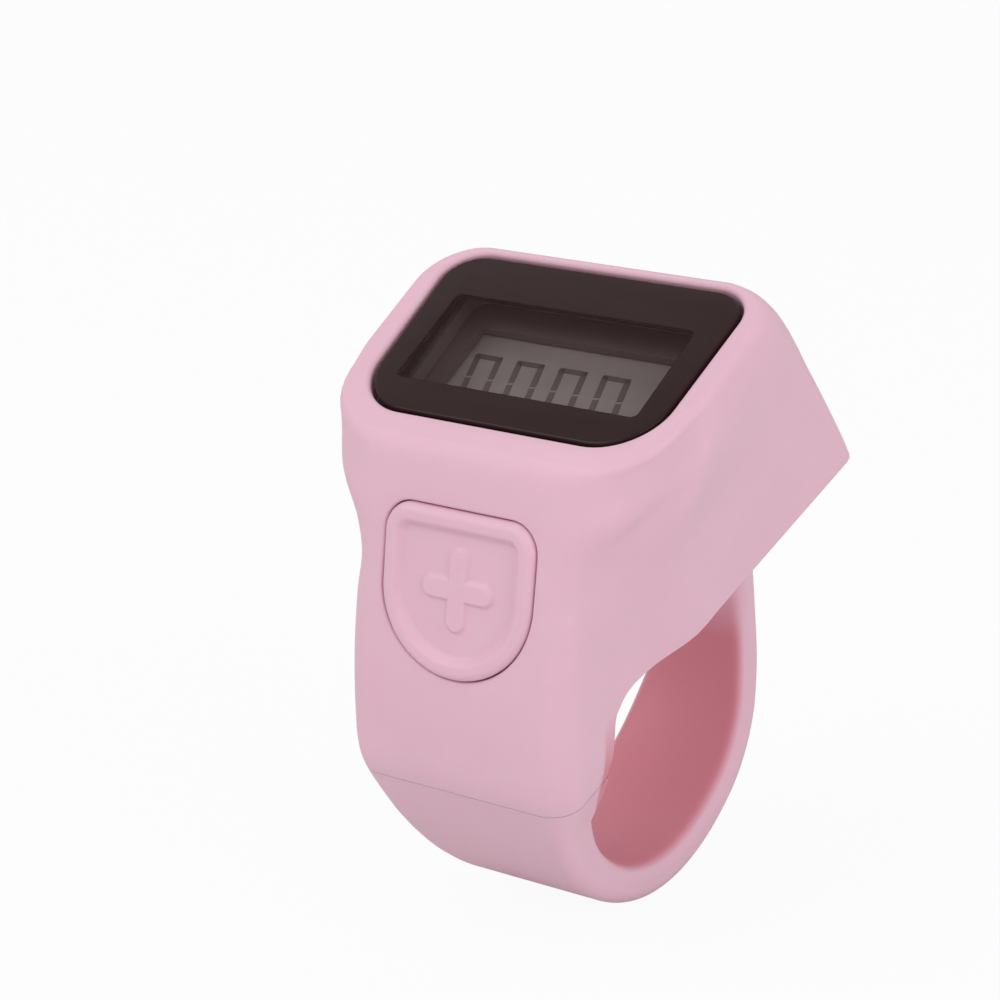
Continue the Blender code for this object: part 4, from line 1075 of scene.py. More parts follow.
def key_outline(grow):
    """Shield outline of the count key: flat top, round bottom."""
    settings = bpy.context.scene.counter_key
    grow -= settings.side_trim
    half = KEY_WIDTH / 2 + grow
    top = KEY_CENTRE + KEY_HEIGHT / 2 + grow + settings.side_trim - settings.top_trim
    bottom = KEY_CENTRE - KEY_HEIGHT / 2 - grow
    corner = KEY_WIDTH * KEY_CORNER_SHARE + grow
    flat = [((half - corner) * step / KEY_TOP_STEPS, top) for step in range(1, KEY_TOP_STEPS)]
    right = flat + arc((half - corner, top - corner), corner, math.pi / 2, 0.0, ROUND_STEPS)
    waist = bottom + (top - bottom) * KEY_WAIST_SHARE
    drop = top - corner - waist
    for step in range(1, KEY_SIDE_STEPS):
        right.append((half, top - corner - drop * step / KEY_SIDE_STEPS))
    for angle in turns(math.pi / 2, 3 * ROUND_STEPS)[:-1]:
        right.append((half * math.cos(angle), waist - (waist - bottom) * math.sin(angle)))
    return [(0.0, top)] + right + [(0.0, bottom)] + [(-x, z) for x, z in reversed(right)]


def surface_height(surface, frame, x, y):
    """Height of the outside over a place in a frame's plane."""
    start = frame @ Vector((x, y, FAR))
    along = (frame.to_3x3() @ Vector((0.0, 0.0, -1.0))).normalized()
    hit = surface.ray_cast(start, along)[0]
    return (frame.inverted() @ hit).z


def lipped_cutter(name, outline_at, clearance, low, frame, surface, lip):
    """A cutter whose walls flare into a round lip where they reach the outside."""
    layers = [(0.0, None)]
    for turn in turns(LIP_END, LIP_STEPS):
        layers.append((lip * (1 - math.cos(turn)), -lip * (1 - math.sin(turn))))
    layers += [(lip * LIP_OUT, lip * LIP_RISE), (lip * LIP_OUT, OVERRUN)]
    rings = []
    for grow, rise in layers:
        ring = []
        for x, y in outline_at(clearance + grow):
            height = low if rise is None else surface_height(surface, frame, x, y) + rise
            ring.append(frame @ Vector((x, y, height)))
        rings.append(ring)
    return skin(name, rings)


def side_over(surface, place, fallback):
    """How far the outside reaches to the side at a place in y and z."""
    hit = surface.ray_cast(Vector((FAR, *place)), Vector((-1.0, 0.0, 0.0)))[0]
    return hit.x if hit else fallback


def cove(name, path, surface, radii, side):
    """A cutter that rounds the side edge of a cut along a path of y and z."""
    rings = []
    start = -OVERRUN / 8
    last = BODY_WIDTH / 2
    for index, (point, radius) in enumerate(zip(path, radii)):
        before = Vector(path[max(index - 1, 0)])
        after = Vector(path[min(index + 1, len(path) - 1)])
        along = (after - before).normalized()
        into = Vector((-along.y, along.x))
        place = Vector(point)
        last = side_over(surface, place, last)
        behind, outside = last - radius * COVE_BEHIND, last + OVERRUN / 2
        section = [(-COVE_UNDER * radius, behind)]
        for turn in turns(LIP_END, LIP_STEPS):
            depth = radius * (1 - math.cos(turn))
            reach = side_over(surface, place + into * depth, last)
            section.append((depth, reach - radius * (1 - math.sin(turn))))
        depth = radius * LIP_OUT
        reach = side_over(surface, place + into * depth, last)
        section += [(depth, reach + radius * LIP_RISE), (depth, outside)]
        section += [(start, outside), (start, behind)]
        rings.append([Vector((side * x, *(place + into * depth))) for depth, x in section])
    return skin(name, rings)


def finger_edge_path(wall, roof_edge):
    """Side edge of the finger space as a dense path of y and z, with its radii."""
    path = finger_wall_path()
    start = Vector(path[0])
    corner = Vector(path[1])
    dense = [tuple(start + (corner - start) * step / ARC_STEPS) for step in range(-1, ARC_STEPS)]
    roof = to_head(*path[-1])[0]
    end = HEAD_BACK * HEAD_LEVELS[0].rear + roof_edge
    count = 2 * SIDE_STEPS
    radii = [wall] * len(dense)
    dense += path[1:]
    turn = len(path) - 2
    radii += [wall + (roof_edge - wall) * eased(step / turn) for step in range(turn + 1)]
    for step in range(1, count + 1):
        dense.append(to_world(roof + (end - roof) * step / count, HEAD_ROOF))
    return dense, radii + [roof_edge] * count


def back_edge_outline(radius):
    """Profile, in u and n, that rounds the head's lower back edge."""
    back = HEAD_BACK * HEAD_LEVELS[0].rear
    points = arc((back - radius, HEAD_ROOF + radius), radius, -math.pi / 2, 0.0, LIP_STEPS)
    far = radius * 3
    low = HEAD_ROOF - far
    points += [(back + far / 8, HEAD_ROOF + radius * 2), (back + far, HEAD_ROOF + far)]
    return points + [(back + far, low), (back - radius * LIP_OUT, low)]


def tongue_block(name, grow):
    """The tongue that locates the band in the housing's front wall, or its pocket."""
    width, thickness, height = SEAM_TONGUE
    middle = seam_point(FRONT_INNER + FRONT_WALL / 2, 0.0)
    low = (-width / 2 - grow, middle[0] - thickness / 2 - grow, middle[1] - height)
    high = (width / 2 + grow, middle[0] + thickness / 2 + grow, middle[1] + height + grow)
    return block(name, low, high, Matrix.Identity(4))


def screw_places():
    """Where the four base plate screws stand, in the head's x and u."""
    return [((low.x + high.x) / 2, (low.y + high.y) / 2) for low, high in SCREWS]


def hollow_housing(shell):
    """Cut the housing's inside: head, display, key pocket and window opening."""
    front = to_head(POCKET_BACK, KEY_CENTRE)[0]
    plan = plan_outline(HEAD_LEVELS[0], HEAD_WALL, front, HEAD_INSIDE_BACK)
    shape(shell, prism("head_cavity", plan, HEAD_ROOF - OVERRUN, BOARD_LOW.z))
    front = BEZEL_LOW.y - 2 * SEAT_GAP
    plan = plan_outline(HEAD_LEVELS[DISPLAY_LEVEL], HEAD_WALL, front, HEAD_INSIDE_BACK)
    shape(shell, prism("display_cavity", plan, BOARD_LOW.z - 2 * SEAT_GAP, LEDGE_BOTTOM))
    grow = KEY_LIP + SEAT_GAP
    size = (KEY_WIDTH + 2 * grow, KEY_HEIGHT + 2 * grow)
    pocket = rounded_rectangle(size, BODY_ROUND / 2, (0.0, KEY_CENTRE))
    shape(shell, prism("key_pocket", pocket, -POCKET_BACK, -SKIN_BACK, ALONG_Y))
    opening = window_outline(-LEDGE_WIDTH)
    shape(shell, prism("window_opening", opening, LEDGE_BOTTOM - LEDGE_THICKNESS, HEAD_TOP))


def add_bosses(shell):
    """Join a boss to the head's wall over each plate screw, with its pilot hole."""
    low, high = PLATE_TOP + SEAT_GAP, BOARD_LOW.z - SEAT_GAP
    for index, (x, u) in enumerate(screw_places()):
        side = math.copysign(1.0, x)
        reach = x + side * (BOSS_RADIUS + HEAD_WALL / 2)
        start = math.pi / 2 * side
        outline = arc((x, u), BOSS_RADIUS, start, start + math.pi, 2 * ROUND_STEPS)
        outline += [(reach, u - side * BOSS_RADIUS), (reach, u + side * BOSS_RADIUS)]
        shape(shell, prism(f"boss_{index}", outline, low, high), "UNION")
        hole = circle(PILOT_RADIUS, (x, u))
        shape(shell, prism(f"pilot_{index}", hole, low - OVERRUN, high - PILOT_RADIUS))


def darken_well(shell):
    """Give the faces of the well under the window the display frame's plastic."""
    shell.data.materials.append(finish_named("bezel_plastic"))
    reach = Vector(WINDOW_SIZE) / 2 - Vector((WELL_EDGE, WELL_EDGE))
    turn = HEAD.inverted()
    for face in shell.data.polygons:
        x, u, n = turn @ face.center
        in_well = abs(x) < reach.x and abs(u - WINDOW_CENTRE) < reach.y
        face.material_index = int(in_well and BOARD_LOW.z < n < LEDGE_TOP + WELD)


def make_housing():
    """The housing's shell with soft lips round the window and the key."""
    settings = bpy.context.scene.counter_shell
    shell = skin("housing_shell", housing_rings())
    surface = surface_of(shell)
    shape(shell, prism("finger_space", finger_space_outline(), -FAR, FAR, ALONG_X))
    shape(shell, lipped_cutter(
        "window_seat", window_outline, LENS_CLEARANCE, LEDGE_TOP, HEAD, surface,
        settings.window_lip,
    ))
    shape(shell, lipped_cutter(
        "key_hole", key_outline, KEY_CLEARANCE, -SKIN_BACK - SKIN / 2, ALONG_Y, surface,
        settings.key_lip,
    ))
    edge, radii = finger_edge_path(settings.finger_edge, settings.roof_edge)
    for side in (-1, 1):
        shape(shell, cove(f"edge_{side}", edge, surface, radii, side))
    profile = [to_world(u, n) for u, n in back_edge_outline(settings.back_edge)]
    shape(shell, prism("back_edge", profile, -FAR, FAR, ALONG_X))
    hollow_housing(shell)
    add_bosses(shell)
    shape(shell, tongue_block("tongue_pocket", SEAT_GAP))
    smooth(shell)
    dress(shell, "case", "pink_plastic", "pink_plastic", "housing")
    darken_well(shell)


def lug_outline(radius, half_angle, turn, centre):
    """A sector from inside the cell's cup out to a radius."""
    points = arc(centre, radius, turn - half_angle, turn + half_angle, ROUND_STEPS)
    return points + arc(centre, CELL_RADIUS / 2, turn + half_angle, turn - half_angle, 2)


def add_base_plate(band):
    """Join to the band the plate that closes the head's underside, with the screws' holes."""
    front = to_head(POCKET_BACK, KEY_CENTRE)[0] + PLATE_CLEARANCE
    back = HEAD_INSIDE_BACK - PLATE_CLEARANCE
    plan = plan_outline(HEAD_LEVELS[0], HEAD_WALL + PLATE_CLEARANCE, front, back)
    shape(band, prism("base_plate", plan, HEAD_ROOF, PLATE_TOP), "UNION")
    low = HEAD_ROOF - BAND_WALL
    half = BAND_BACK_WIDTH / 2 - BAND_ROUND / 2
    inner = math.sqrt(BORE_RADIUS ** 2 - low ** 2)
    reach = min(math.sqrt(BAND_RADIUS ** 2 - HEAD_ROOF ** 2), back) - BAND_ROUND / 2
    root = block("root", (-half, inner, low), (half, reach, HEAD_ROOF + PLATE_THICKNESS / 2))
    shape(band, root, "UNION")
    add_cell_cup(band)
    low = HEAD_ROOF - OVERRUN
    for index, place in enumerate(screw_places()):
        hole = circle(PILOT_RADIUS, place)
        shape(band, prism(f"hole_{index}", hole, low, PLATE_TOP + OVERRUN))
        sink = circle(SINK_RADIUS, place)
        shape(band, prism(f"sink_{index}", sink, low, HEAD_ROOF + SINK_DEPTH))


def add_cell_cup(band):
    """Join the cell's cup to the plate, with the seat, groove and notches of its cover."""
    centre = (0.0, CELL_CENTRE)
    cup = prism("cup", circle(CUP_OUTER, centre), PLATE_TOP - SEAT_GAP, CELL_HIGH.z)
    shape(band, cup, "UNION")
    low = HEAD_ROOF - OVERRUN
    shape(band, prism("bore", circle(CUP_INNER, centre), low, CELL_HIGH.z + OVERRUN))
    seat = circle(DOOR_RADIUS + SEAT_GAP, centre)
    shape(band, prism("door_seat", seat, low, HEAD_ROOF + DOOR_FLANGE + SEAT_GAP))
    groove = CUP_INNER + LUG_REACH
    shape(band, prism("lug_groove", circle(groove, centre), PLATE_TOP, LUG_TOP + SEAT_GAP))
    clear = SEAT_GAP / CUP_INNER + LUG_HALF_ANGLE
    for index in range(2):
        notch = lug_outline(groove, clear, DOOR_TURN + index * math.pi, centre)
        shape(band, prism(f"notch_{index}", notch, low, PLATE_TOP + SEAT_GAP))


def make_band():
    """The ring band with the base plate it carries."""
    band = skin("ring_shell", band_rings())
    shape(band, prism("above", band_keep_out_outline(), -FAR, FAR, ALONG_X))
    shape(band, prism("front_step", front_step_outline(), -FAR, FAR, ALONG_X))
    shape(band, tongue_block("tongue", 0.0), "UNION")
    add_base_plate(band)
    smooth(band)
    dress(band, "case", "pink_plastic", "pink_plastic", "ring_band")


# Count key


def plus_relief(x, z, settings):
    """Height share of the plus sign at a place on the key's face, with soft edges."""
    bar = settings.mark_width / 2
    arm = settings.mark_length / 2 - bar
    across = math.hypot(max(abs(x) - arm, 0.0), z)
    upright = math.hypot(x, max(abs(z) - arm, 0.0))
    return eased((bar + MARK_SOFT / 2 - min(across, upright)) / MARK_SOFT)


def key_depth(inset, settings):
    """Depth under the rim's crest at a distance inside the key's outline."""
    if inset < settings.edge:
        return settings.edge - math.sqrt(settings.edge ** 2 - (settings.edge - inset) ** 2)
    crest = settings.edge + (settings.rim - settings.edge) * CREST_SHARE
    return settings.dish * eased((inset - crest) / (settings.rim - crest))


def key_ring(outline, depths):
    """A ring on the key's leaning face, sunk by a depth at each of its points."""
    lean = math.tan(KEY_LEAN)
    return [
        Vector((x, KEY_MIDDLE + (z - KEY_CENTRE) * lean + depth, z))
        for (x, z), depth in zip(outline, depths)
    ]


def key_face_rings(outline_at, settings):
    """Rings of the key's face, from its middle out to its edge."""
    rings = []
    field = outline_at(settings.rim)
    for step in range(1, FIELD_RINGS + 1):
        share = step / FIELD_RINGS
        outline = [(x * share, KEY_CENTRE + (z - KEY_CENTRE) * share) for x, z in field]
        marks = [plus_relief(x, z - KEY_CENTRE, settings) for x, z in outline]
        floor = [settings.dish - settings.mark_height * mark for mark in marks]
        rings.append(key_ring(outline, floor))
    insets = [settings.rim * (1 - step / RIM_STEPS) for step in range(1, RIM_RINGS + 1)]
    insets += [settings.edge * (1 - math.sin(turn)) for turn in turns(math.pi / 2, EDGE_STEPS)]
    for inset in sorted({round(inset, INSET_DIGITS) for inset in insets}, reverse=True):
        outline = outline_at(inset)
        rings.append(key_ring(outline, [key_depth(inset, settings)] * len(outline)))
    return rings


def make_key():
    """The count key: pillow rim, shallow dish and a raised plus sign."""
    settings = bpy.context.scene.counter_key

    def outline_at(inset):
        points = key_outline(settings.fit - inset)
        after = points[1:] + points[:1]
        halves = [((a[0] + b[0]) / 2, (a[1] + b[1]) / 2) for a, b in zip(points, after)]
        return [point for pair in zip(points, halves) for point in pair]

    rings = key_face_rings(outline_at, settings)
    side = outline_at(0.0)
    flange = outline_at(settings.fit - KEY_LIP)
    aways = [Vector((x, z - KEY_CENTRE)).normalized() * NUB_RADIUS for x, z in side]
    nub = [(away.x, KEY_CENTRE + away.y) for away in aways]
    under = [(FLANGE_FRONT, side), (FLANGE_FRONT, flange), (FLANGE_BACK, flange)]
    under += [(FLANGE_BACK, nub), (KEY_HIGH.y, nub)]
    rings += [[Vector((x, y, z)) for x, z in outline] for y, outline in under]
    key = skin("count_key", rings)
    smooth(key, 40.0)
    dress(key, "button", "pink_plastic", "pink_plastic", "count_button")


# Window and display


def make_border(settings, under, field):
    """The window's printed border, open over the clear field."""
    layers = [(window_outline(-settings.inset), under)]
    for turn in turns(math.pi / 2, LIP_STEPS):
        outline = window_outline(-settings.inset - settings.bevel * (1 - math.cos(turn)))
        layers.append((outline, LENS_HIGH.z - settings.bevel * (1 - math.sin(turn))))
    border = stack("window_border", layers, HEAD)
    shape(border, prism("clear_field", field, LENS_LOW.z, LENS_HIGH.z + OVERRUN))
    smooth(border, 50.0)
    dress(border, "case", "window_border", "black_plastic")


def make_window():
    """The smoked window, with a pane that fills its border's clear field."""
    settings = bpy.context.scene.counter_window
    low, under = LENS_LOW.z, LENS_HIGH.z - settings.border_depth
    size = Vector((settings.view_width, settings.view_length))
    place = (0.0, VIEW_CENTRE)
    make_border(settings, under, rounded_rectangle(size, VIEW_ROUND, place))
    soft = settings.bevel / 2
    layers = [(window_outline(-settings.inset - soft), low)]
    layers.append((window_outline(-settings.inset), low + soft))
    layers.append((window_outline(-settings.inset), under - FIELD_GAP))
    lens = stack("smoked_lens", layers, HEAD)
    size -= Vector((FIELD_GAP, FIELD_GAP)) * 2
    pane = rounded_rectangle(size, VIEW_ROUND - FIELD_GAP, place)
    shape(lens, prism("pane", pane, (low + under) / 2, LENS_HIGH.z), "UNION")
    dress(lens, "case", "smoked_window", "smoked_window", "window_lens")
    for finish in ("window_underside", "window_border"):
        lens.data.materials.append(finish_named(finish))
    up = HEAD.to_3x3() @ Vector((0.0, 0.0, 1.0))
    for face in lens.data.polygons:
        rise = face.normal.dot(up)
        face.material_index = 0 if rise > FLAT_RISE else 1 if rise < -FLAT_RISE else 2


SEGMENTS = {
    "0": "abcdef", "1": "bc", "2": "abged", "3": "abgcd", "4": "fgbc",
    "5": "afgcd", "6": "afgedc", "7": "abc", "8": "abcdefg", "9": "abcdfg",
}
# Each segment's place across and up, in digit widths and half heights, and if it is upright
SEGMENT_PLACES = {
    "a": (0.0, 1.0, False), "b": (0.5, 0.5, True), "c": (0.5, -0.5, True), "d": (0.0, -1.0, False),
    "e": (-0.5, -0.5, True), "f": (-0.5, 0.5, True), "g": (0.0, 0.0, False),
}


class Growth(Tree):
    """A geometry node group with named inputs for its sizes and its material."""

    def __init__(self, name, sizes):
        self.group = bpy.data.node_groups.new(name, "GeometryNodeTree")
        super().__init__(self.group)
        self.add_socket("Geometry", "Geometry")
        for size in sizes:
            self.add_socket(size, "Float")
        self.add_socket("Material", "Material")
        self.add_socket("Geometry", "Geometry", "OUTPUT")
        self.source = self.node("NodeGroupInput")

    def add_socket(self, label, kind, in_out="INPUT"):
        """Add an input or an output to the group."""
        kind = f"NodeSocket{kind}"
        self.group.interface.new_socket(label, in_out=in_out, socket_type=kind)

    def given(self, name):
        """One of the group's inputs."""
        return Value(self, self.source.outputs[name])

    def vector(self, *parts):
        """A vector of three numbers or values."""
        return self.value("ShaderNodeCombineXYZ", dict(enumerate(parts)))

    def boolean(self, operation, meshes):
        """Join meshes, or cut one with others."""
        kind = "GeometryNodeMeshBoolean"
        return self.value(kind, meshes, operation=operation, solver="EXACT")

    def grow(self, obj, piece, sizes, finish, rotation=None):
        """Put a piece at each of an object's points and keep the result as its mesh."""
        placing = {"Points": self.given("Geometry"), "Instance": piece}
        if rotation:
            placing["Rotation"] = rotation
        placed = self.value("GeometryNodeInstanceOnPoints", placing)
        real = self.value("GeometryNodeRealizeInstances", {"Geometry": placed})
        painted = self.value(
            "GeometryNodeSetMaterial", {"Geometry": real, "Material": self.given("Material")}
        )
        self.node("NodeGroupOutput", {"Geometry": painted})
        modifier = obj.modifiers.new(self.group.name, "NODES")
        modifier.node_group = self.group
        values = {**sizes, "Material": finish_named(finish)}
        for item in self.group.interface.items_tree:
            if item.in_out == "INPUT" and item.name in values:
                modifier[item.identifier] = values[item.name]
        settle(obj)


def segment_places(settings):
    """Where the number's segments lie in x and u, and how far each is turned."""
    half = settings.height / 2
    text = str(settings.number).zfill(settings.places)
    right = FILM_HIGH.x - settings.margin
    middle = BEZEL_LOW.y + (BEZEL_HIGH.y - BEZEL_LOW.y) / 2
    points, angles = [], []
    for index, figure in enumerate(text):
        centre = right - settings.pitch * (len(text) - 1 - index) - settings.width / 2
        for name in SEGMENTS[figure]:
            across, up, upright = SEGMENT_PLACES[name]
            rise = up * half
            rise -= math.copysign(settings.stroke / 2, up) if up and not upright else 0.0
            x = centre + across * settings.width + rise * math.tan(settings.slant)
            points.append((x, middle + rise, 0.0))
            angles.append(math.pi / 2 - settings.slant if upright else 0.0)
    return points, angles


def make_digits():
    """The counted number as flat dark segments on the display's film."""
    settings = bpy.context.scene.counter_display
    points, angles = segment_places(settings)
    digits = add_points("display_digits", points)
    digits.data.attributes.new("turn", "FLOAT", "POINT").data.foreach_set("value", angles)
    sizes = {
        "Length": settings.height / 2 - settings.stroke * SEGMENT_CUT,
        "Stroke": settings.stroke,
        "Thickness": DIGIT_THICKNESS,
    }
    tree = Growth("digit_segments", sizes)
    size = tree.vector(*[tree.given(name) for name in sizes])
    bar = tree.value("GeometryNodeMeshCube", {"Size": size})
    turn = tree.value("GeometryNodeInputNamedAttribute", {"Name": "turn"}, data_type="FLOAT")
    tree.grow(digits, bar, sizes, "digit_ink", tree.vector(0.0, 0.0, turn))
    lift = FILM_HIGH.z + DIGIT_THICKNESS / 2 + FIELD_GAP
    digits.data.transform(HEAD @ Matrix.Translation((0.0, 0.0, lift)))
    dress(digits, "case", None, "black_plastic")


def make_display():
    """The display's film and the digits on it."""
    film = block("display_film", FILM_LOW, FILM_HIGH)
    dress(film, "case", "display_face", "smoked_window", "display_front_film")
    make_digits()


# Fasteners and the cell's cover


def screw_piece(tree):
    """One screw with a crossed recess, head down, from the tree's sizes."""
    bars = []
    for radius, length in (("Head Radius", "Head Height"), ("Shank Radius", "Length")):
        depth = tree.given(length)
        values = {"Vertices": SCREW_SIDES, "Radius": tree.given(radius), "Depth": depth}
        bar = tree.value("GeometryNodeMeshCylinder", values)
        rise = tree.vector(0.0, 0.0, depth * 0.5)
        bars.append(tree.value("GeometryNodeTransform", {"Geometry": bar, "Translation": rise}))
    arm, bite = tree.given("Head Radius") * RECESS_REACH, tree.given("Recess")
    boxes = [tree.vector(arm, bite, bite * 2.0), tree.vector(bite, arm, bite * 2.0)]
    cross = [tree.value("GeometryNodeMeshCube", {"Size": size}) for size in boxes]
    solid = tree.boolean("UNION", {"Mesh 2": bars})
    return tree.boolean("DIFFERENCE", {"Mesh 1": solid, "Mesh 2": cross})


def make_screws():
    """The four screws of the base plate."""
    low, high = SCREWS[0]
    screws = add_points("plate_screws", [(x, u, low.z) for x, u in screw_places()])
    sizes = {
        "Head Radius": (high.x - low.x) / 2,
        "Head Height": SCREW_HEAD_HEIGHT,
        "Shank Radius": SCREW_SHANK_RADIUS,
        "Length": high.z - low.z,
        "Recess": SCREW_RECESS,
    }
    tree = Growth("plate_screws", sizes)
    tree.grow(screws, screw_piece(tree), sizes, "bright_steel")
    screws.data.transform(HEAD)
    smooth(screws)
    names = [f"plate_screw_{index + 1}" for index in range(4)]
    dress(screws, "case", None, "bright_steel", *names)


def make_cover():
    """The quarter-turn cover of the cell's bay."""
    centre = (0.0, CELL_CENTRE)
    layers = [(circle(DOOR_RADIUS - COVER_RIM, centre), HEAD_ROOF)]
    for turn in turns(math.pi / 2, LIP_STEPS):
        radius = DOOR_RADIUS - COVER_SOFT * (1 - math.sin(turn))
        layers.append((circle(radius, centre), HEAD_ROOF + COVER_SOFT * (1 - math.cos(turn))))
    top = HEAD_ROOF + DOOR_FLANGE
    layers += [(circle(DOOR_RADIUS, centre), top), (circle(CELL_RADIUS, centre), top)]
    layers.append((circle(CELL_RADIUS, centre), DOOR_HIGH.z))
    cover = stack("cell_cover", layers, HEAD)
    reach = CUP_INNER + LUG_REACH - SEAT_GAP
    for index in range(2):
        lug = lug_outline(reach, LUG_HALF_ANGLE, index * math.pi, centre)
        shape(cover, prism(f"lug_{index}", lug, LUG_BOTTOM, DOOR_HIGH.z), "UNION")
    slot = rounded_rectangle(COIN_SLOT, COIN_SLOT_ROUND, centre)
    shape(cover, prism("coin_slot", slot, HEAD_ROOF - OVERRUN, HEAD_ROOF + COIN_SLOT_DEPTH))
    smooth(cover)
    dress(cover, "battery_door", "pink_plastic", "pink_plastic", "battery_door")


# Inner pieces whose finish isn't that of their slot
INSIDE_FINISHES = {"display_frame": "bezel_plastic"}


def dress_inside():
    """Give the pieces carried over from the frame their finishes."""
    slots = {row["node"]: row["material_slot"] for row in FRAME["record"]["subparts"]}
    for name, obj in FRAME["nodes"].items():
        if not obj.hide_render:
            obj.data.materials.clear()
            obj.data.materials.append(finish_named(INSIDE_FINISHES.get(name, slots[name])))


# Stage


def make_floor():
    """A pale round floor that keeps the shadow and looks white to the camera."""
    bm = bmesh.new()
    bmesh.ops.create_circle(bm, cap_ends=True, segments=FLOOR_SIDES, radius=FLOOR_RADIUS)
    bmesh.ops.translate(bm, verts=bm.verts, vec=(0.0, 0.0, CAD_BOX[0][2]))
    floor = add_piece("floor", bm)
    finish = Finish("floor")
    floor.data.materials.append(finish.set(
        Base_Color=finish.mix(finish.noise(4.0), (0.77, 0.77, 0.77), (0.79, 0.79, 0.79)),
        Roughness=0.8,
        Specular_IOR_Level=0.1,
    ))
    seen = finish.value("ShaderNodeLightPath", output="Is Camera Ray")
    glow = finish.value("ShaderNodeEmission", {"Color": WHITE, "Strength": 1.0})
    lit = Value(finish, finish.shader.outputs[0])
    blend = finish.value("ShaderNodeMixShader", {0: seen * FLOOR_WHITE, 1: lit, 2: glow})
    finish.fill(finish.nodes["Material Output"], {"Surface": blend})


def make_world(strength):
    """Even light, with a white ground for the camera and for what glass lets through."""
    world = bpy.data.worlds.new("studio")
    world.use_nodes = True
    bpy.context.scene.world = world
    tree = Tree(world.node_tree)
    even = tree.nodes["Background"]
    tree.fill(even, {"Color": WHITE, "Strength": strength})
    rays = tree.node("ShaderNodeLightPath").outputs
    passed = Value(tree, rays["Is Transmission Ray"])
    clear = Value(tree, rays["Is Camera Ray"]).math("MAXIMUM", passed)
    white = tree.value("ShaderNodeBackground", {"Color": WHITE})
    dim = Value(tree, even.outputs[0])
    blend = tree.value("ShaderNodeMixShader", {0: clear, 1: dim, 2: white})
    tree.fill(tree.nodes["World Output"], {"Surface": blend})


def add_lamp(name, place, size, power):
    """A square soft lamp that faces the object."""
    lamp = add_object(name, bpy.data.lights.new(name, "AREA"))
    lamp.data.size = size
    lamp.data.energy = power
    lamp.location = place
    lamp.rotation_euler = (LAMP_AIM - Vector(place)).to_track_quat("-Z", "Y").to_euler()


def make_stage():
    """Camera, floor, lamps and world."""
    settings = bpy.context.scene.counter_stage
    camera = add_object("camera", bpy.data.cameras.new("camera"))
    camera.data.lens = settings.lens
    camera.data.sensor_width = SENSOR_WIDTH
    camera.data.clip_start = CLIP_START
    camera.location = settings.place
    camera.rotation_euler = (math.pi / 2 - settings.elevation, 0.0, settings.azimuth)
    bpy.context.scene.camera = camera
    bpy.context.scene.view_settings.view_transform = "Standard"
    make_floor()
    make_world(settings.sky)
    add_lamp("key_lamp", *KEY_LAMP, settings.key_power)
    add_lamp("fill_lamp", *FILL_LAMP, settings.fill_power)


class CounterOperator:
    """What the counter's operators share."""

    bl_options = {"REGISTER", "UNDO"}
    maker = None

    def execute(self, context):
        """Run the maker."""
        self.maker()
        return {"FINISHED"}


class COUNTER_OT_stage(CounterOperator, bpy.types.Operator):
    """Add the camera, floor, lamps and world"""

    bl_idname = "counter.stage"
    bl_label = "Stage"
    maker = staticmethod(make_stage)


class COUNTER_OT_housing(CounterOperator, bpy.types.Operator):
    """Build the housing's shell"""

    bl_idname = "counter.housing"
    bl_label = "Housing"
    maker = staticmethod(make_housing)


class COUNTER_OT_band(CounterOperator, bpy.types.Operator):
    """Build the ring band and its base plate"""

    bl_idname = "counter.band"
    bl_label = "Ring band"
    maker = staticmethod(make_band)


class COUNTER_OT_key(CounterOperator, bpy.types.Operator):
    """Build the count key"""

    bl_idname = "counter.key"
    bl_label = "Count key"
    maker = staticmethod(make_key)


class COUNTER_OT_window(CounterOperator, bpy.types.Operator):
    """Build the smoked window"""

    bl_idname = "counter.window"
    bl_label = "Window"
    maker = staticmethod(make_window)


class COUNTER_OT_display(CounterOperator, bpy.types.Operator):
    """Build the display's film and digits"""

    bl_idname = "counter.display"
    bl_label = "Display"
    maker = staticmethod(make_display)


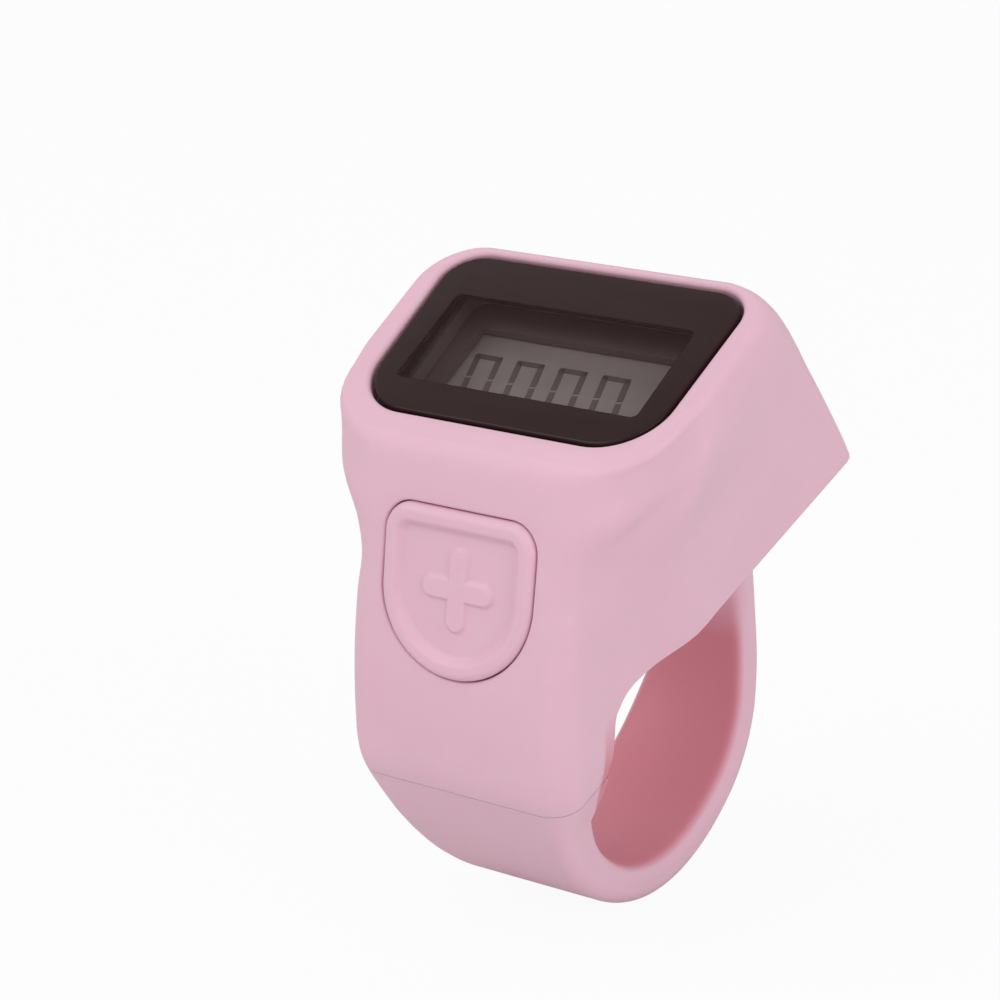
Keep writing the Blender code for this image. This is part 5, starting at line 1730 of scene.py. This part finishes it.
class COUNTER_OT_screws(CounterOperator, bpy.types.Operator):
    """Build the base plate's screws"""

    bl_idname = "counter.screws"
    bl_label = "Screws"
    maker = staticmethod(make_screws)


class COUNTER_OT_cover(CounterOperator, bpy.types.Operator):
    """Build the cell bay's cover"""

    bl_idname = "counter.cover"
    bl_label = "Cell cover"
    maker = staticmethod(make_cover)


class COUNTER_OT_inside(CounterOperator, bpy.types.Operator):
    """Finish the pieces inside the counter"""

    bl_idname = "counter.inside"
    bl_label = "Inside pieces"
    maker = staticmethod(dress_inside)


OPERATORS = (
    COUNTER_OT_stage, COUNTER_OT_housing, COUNTER_OT_band, COUNTER_OT_key, COUNTER_OT_window,
    COUNTER_OT_display, COUNTER_OT_screws, COUNTER_OT_cover, COUNTER_OT_inside,
)
SETTINGS = {
    "counter_shell": ShellSettings,
    "counter_key": KeySettings,
    "counter_window": WindowSettings,
    "counter_display": DisplaySettings,
    "counter_finish": FinishSettings,
    "counter_stage": StageSettings,
}


class COUNTER_PT_panel(bpy.types.Panel):
    """Settings and steps of the tally counter"""

    bl_label = "Tally counter"
    bl_space_type = "VIEW_3D"
    bl_region_type = "UI"
    bl_category = "Tally counter"

    def draw(self, context):
        """List the settings and the operators."""
        for name, group in SETTINGS.items():
            box = self.layout.box()
            for setting in group.__annotations__:
                box.prop(getattr(context.scene, name), setting)
        for operator in OPERATORS:
            self.layout.operator(operator.bl_idname)


def register():
    """Register the classes and attach the settings to the scene."""
    for name, group in SETTINGS.items():
        bpy.utils.register_class(group)
        setattr(bpy.types.Scene, name, PointerProperty(type=group))
    for kind in (*OPERATORS, COUNTER_PT_panel):
        bpy.utils.register_class(kind)


def unregister():
    """Undo what register did."""
    for kind in reversed((*OPERATORS, COUNTER_PT_panel)):
        bpy.utils.unregister_class(kind)
    for name, group in SETTINGS.items():
        delattr(bpy.types.Scene, name)
        bpy.utils.unregister_class(group)


def main():
    """Build everything in order."""
    register()
    for operator in OPERATORS:
        group, name = operator.bl_idname.split(".")
        getattr(getattr(bpy.ops, group), name)()


if __name__ == "__main__":
    main()
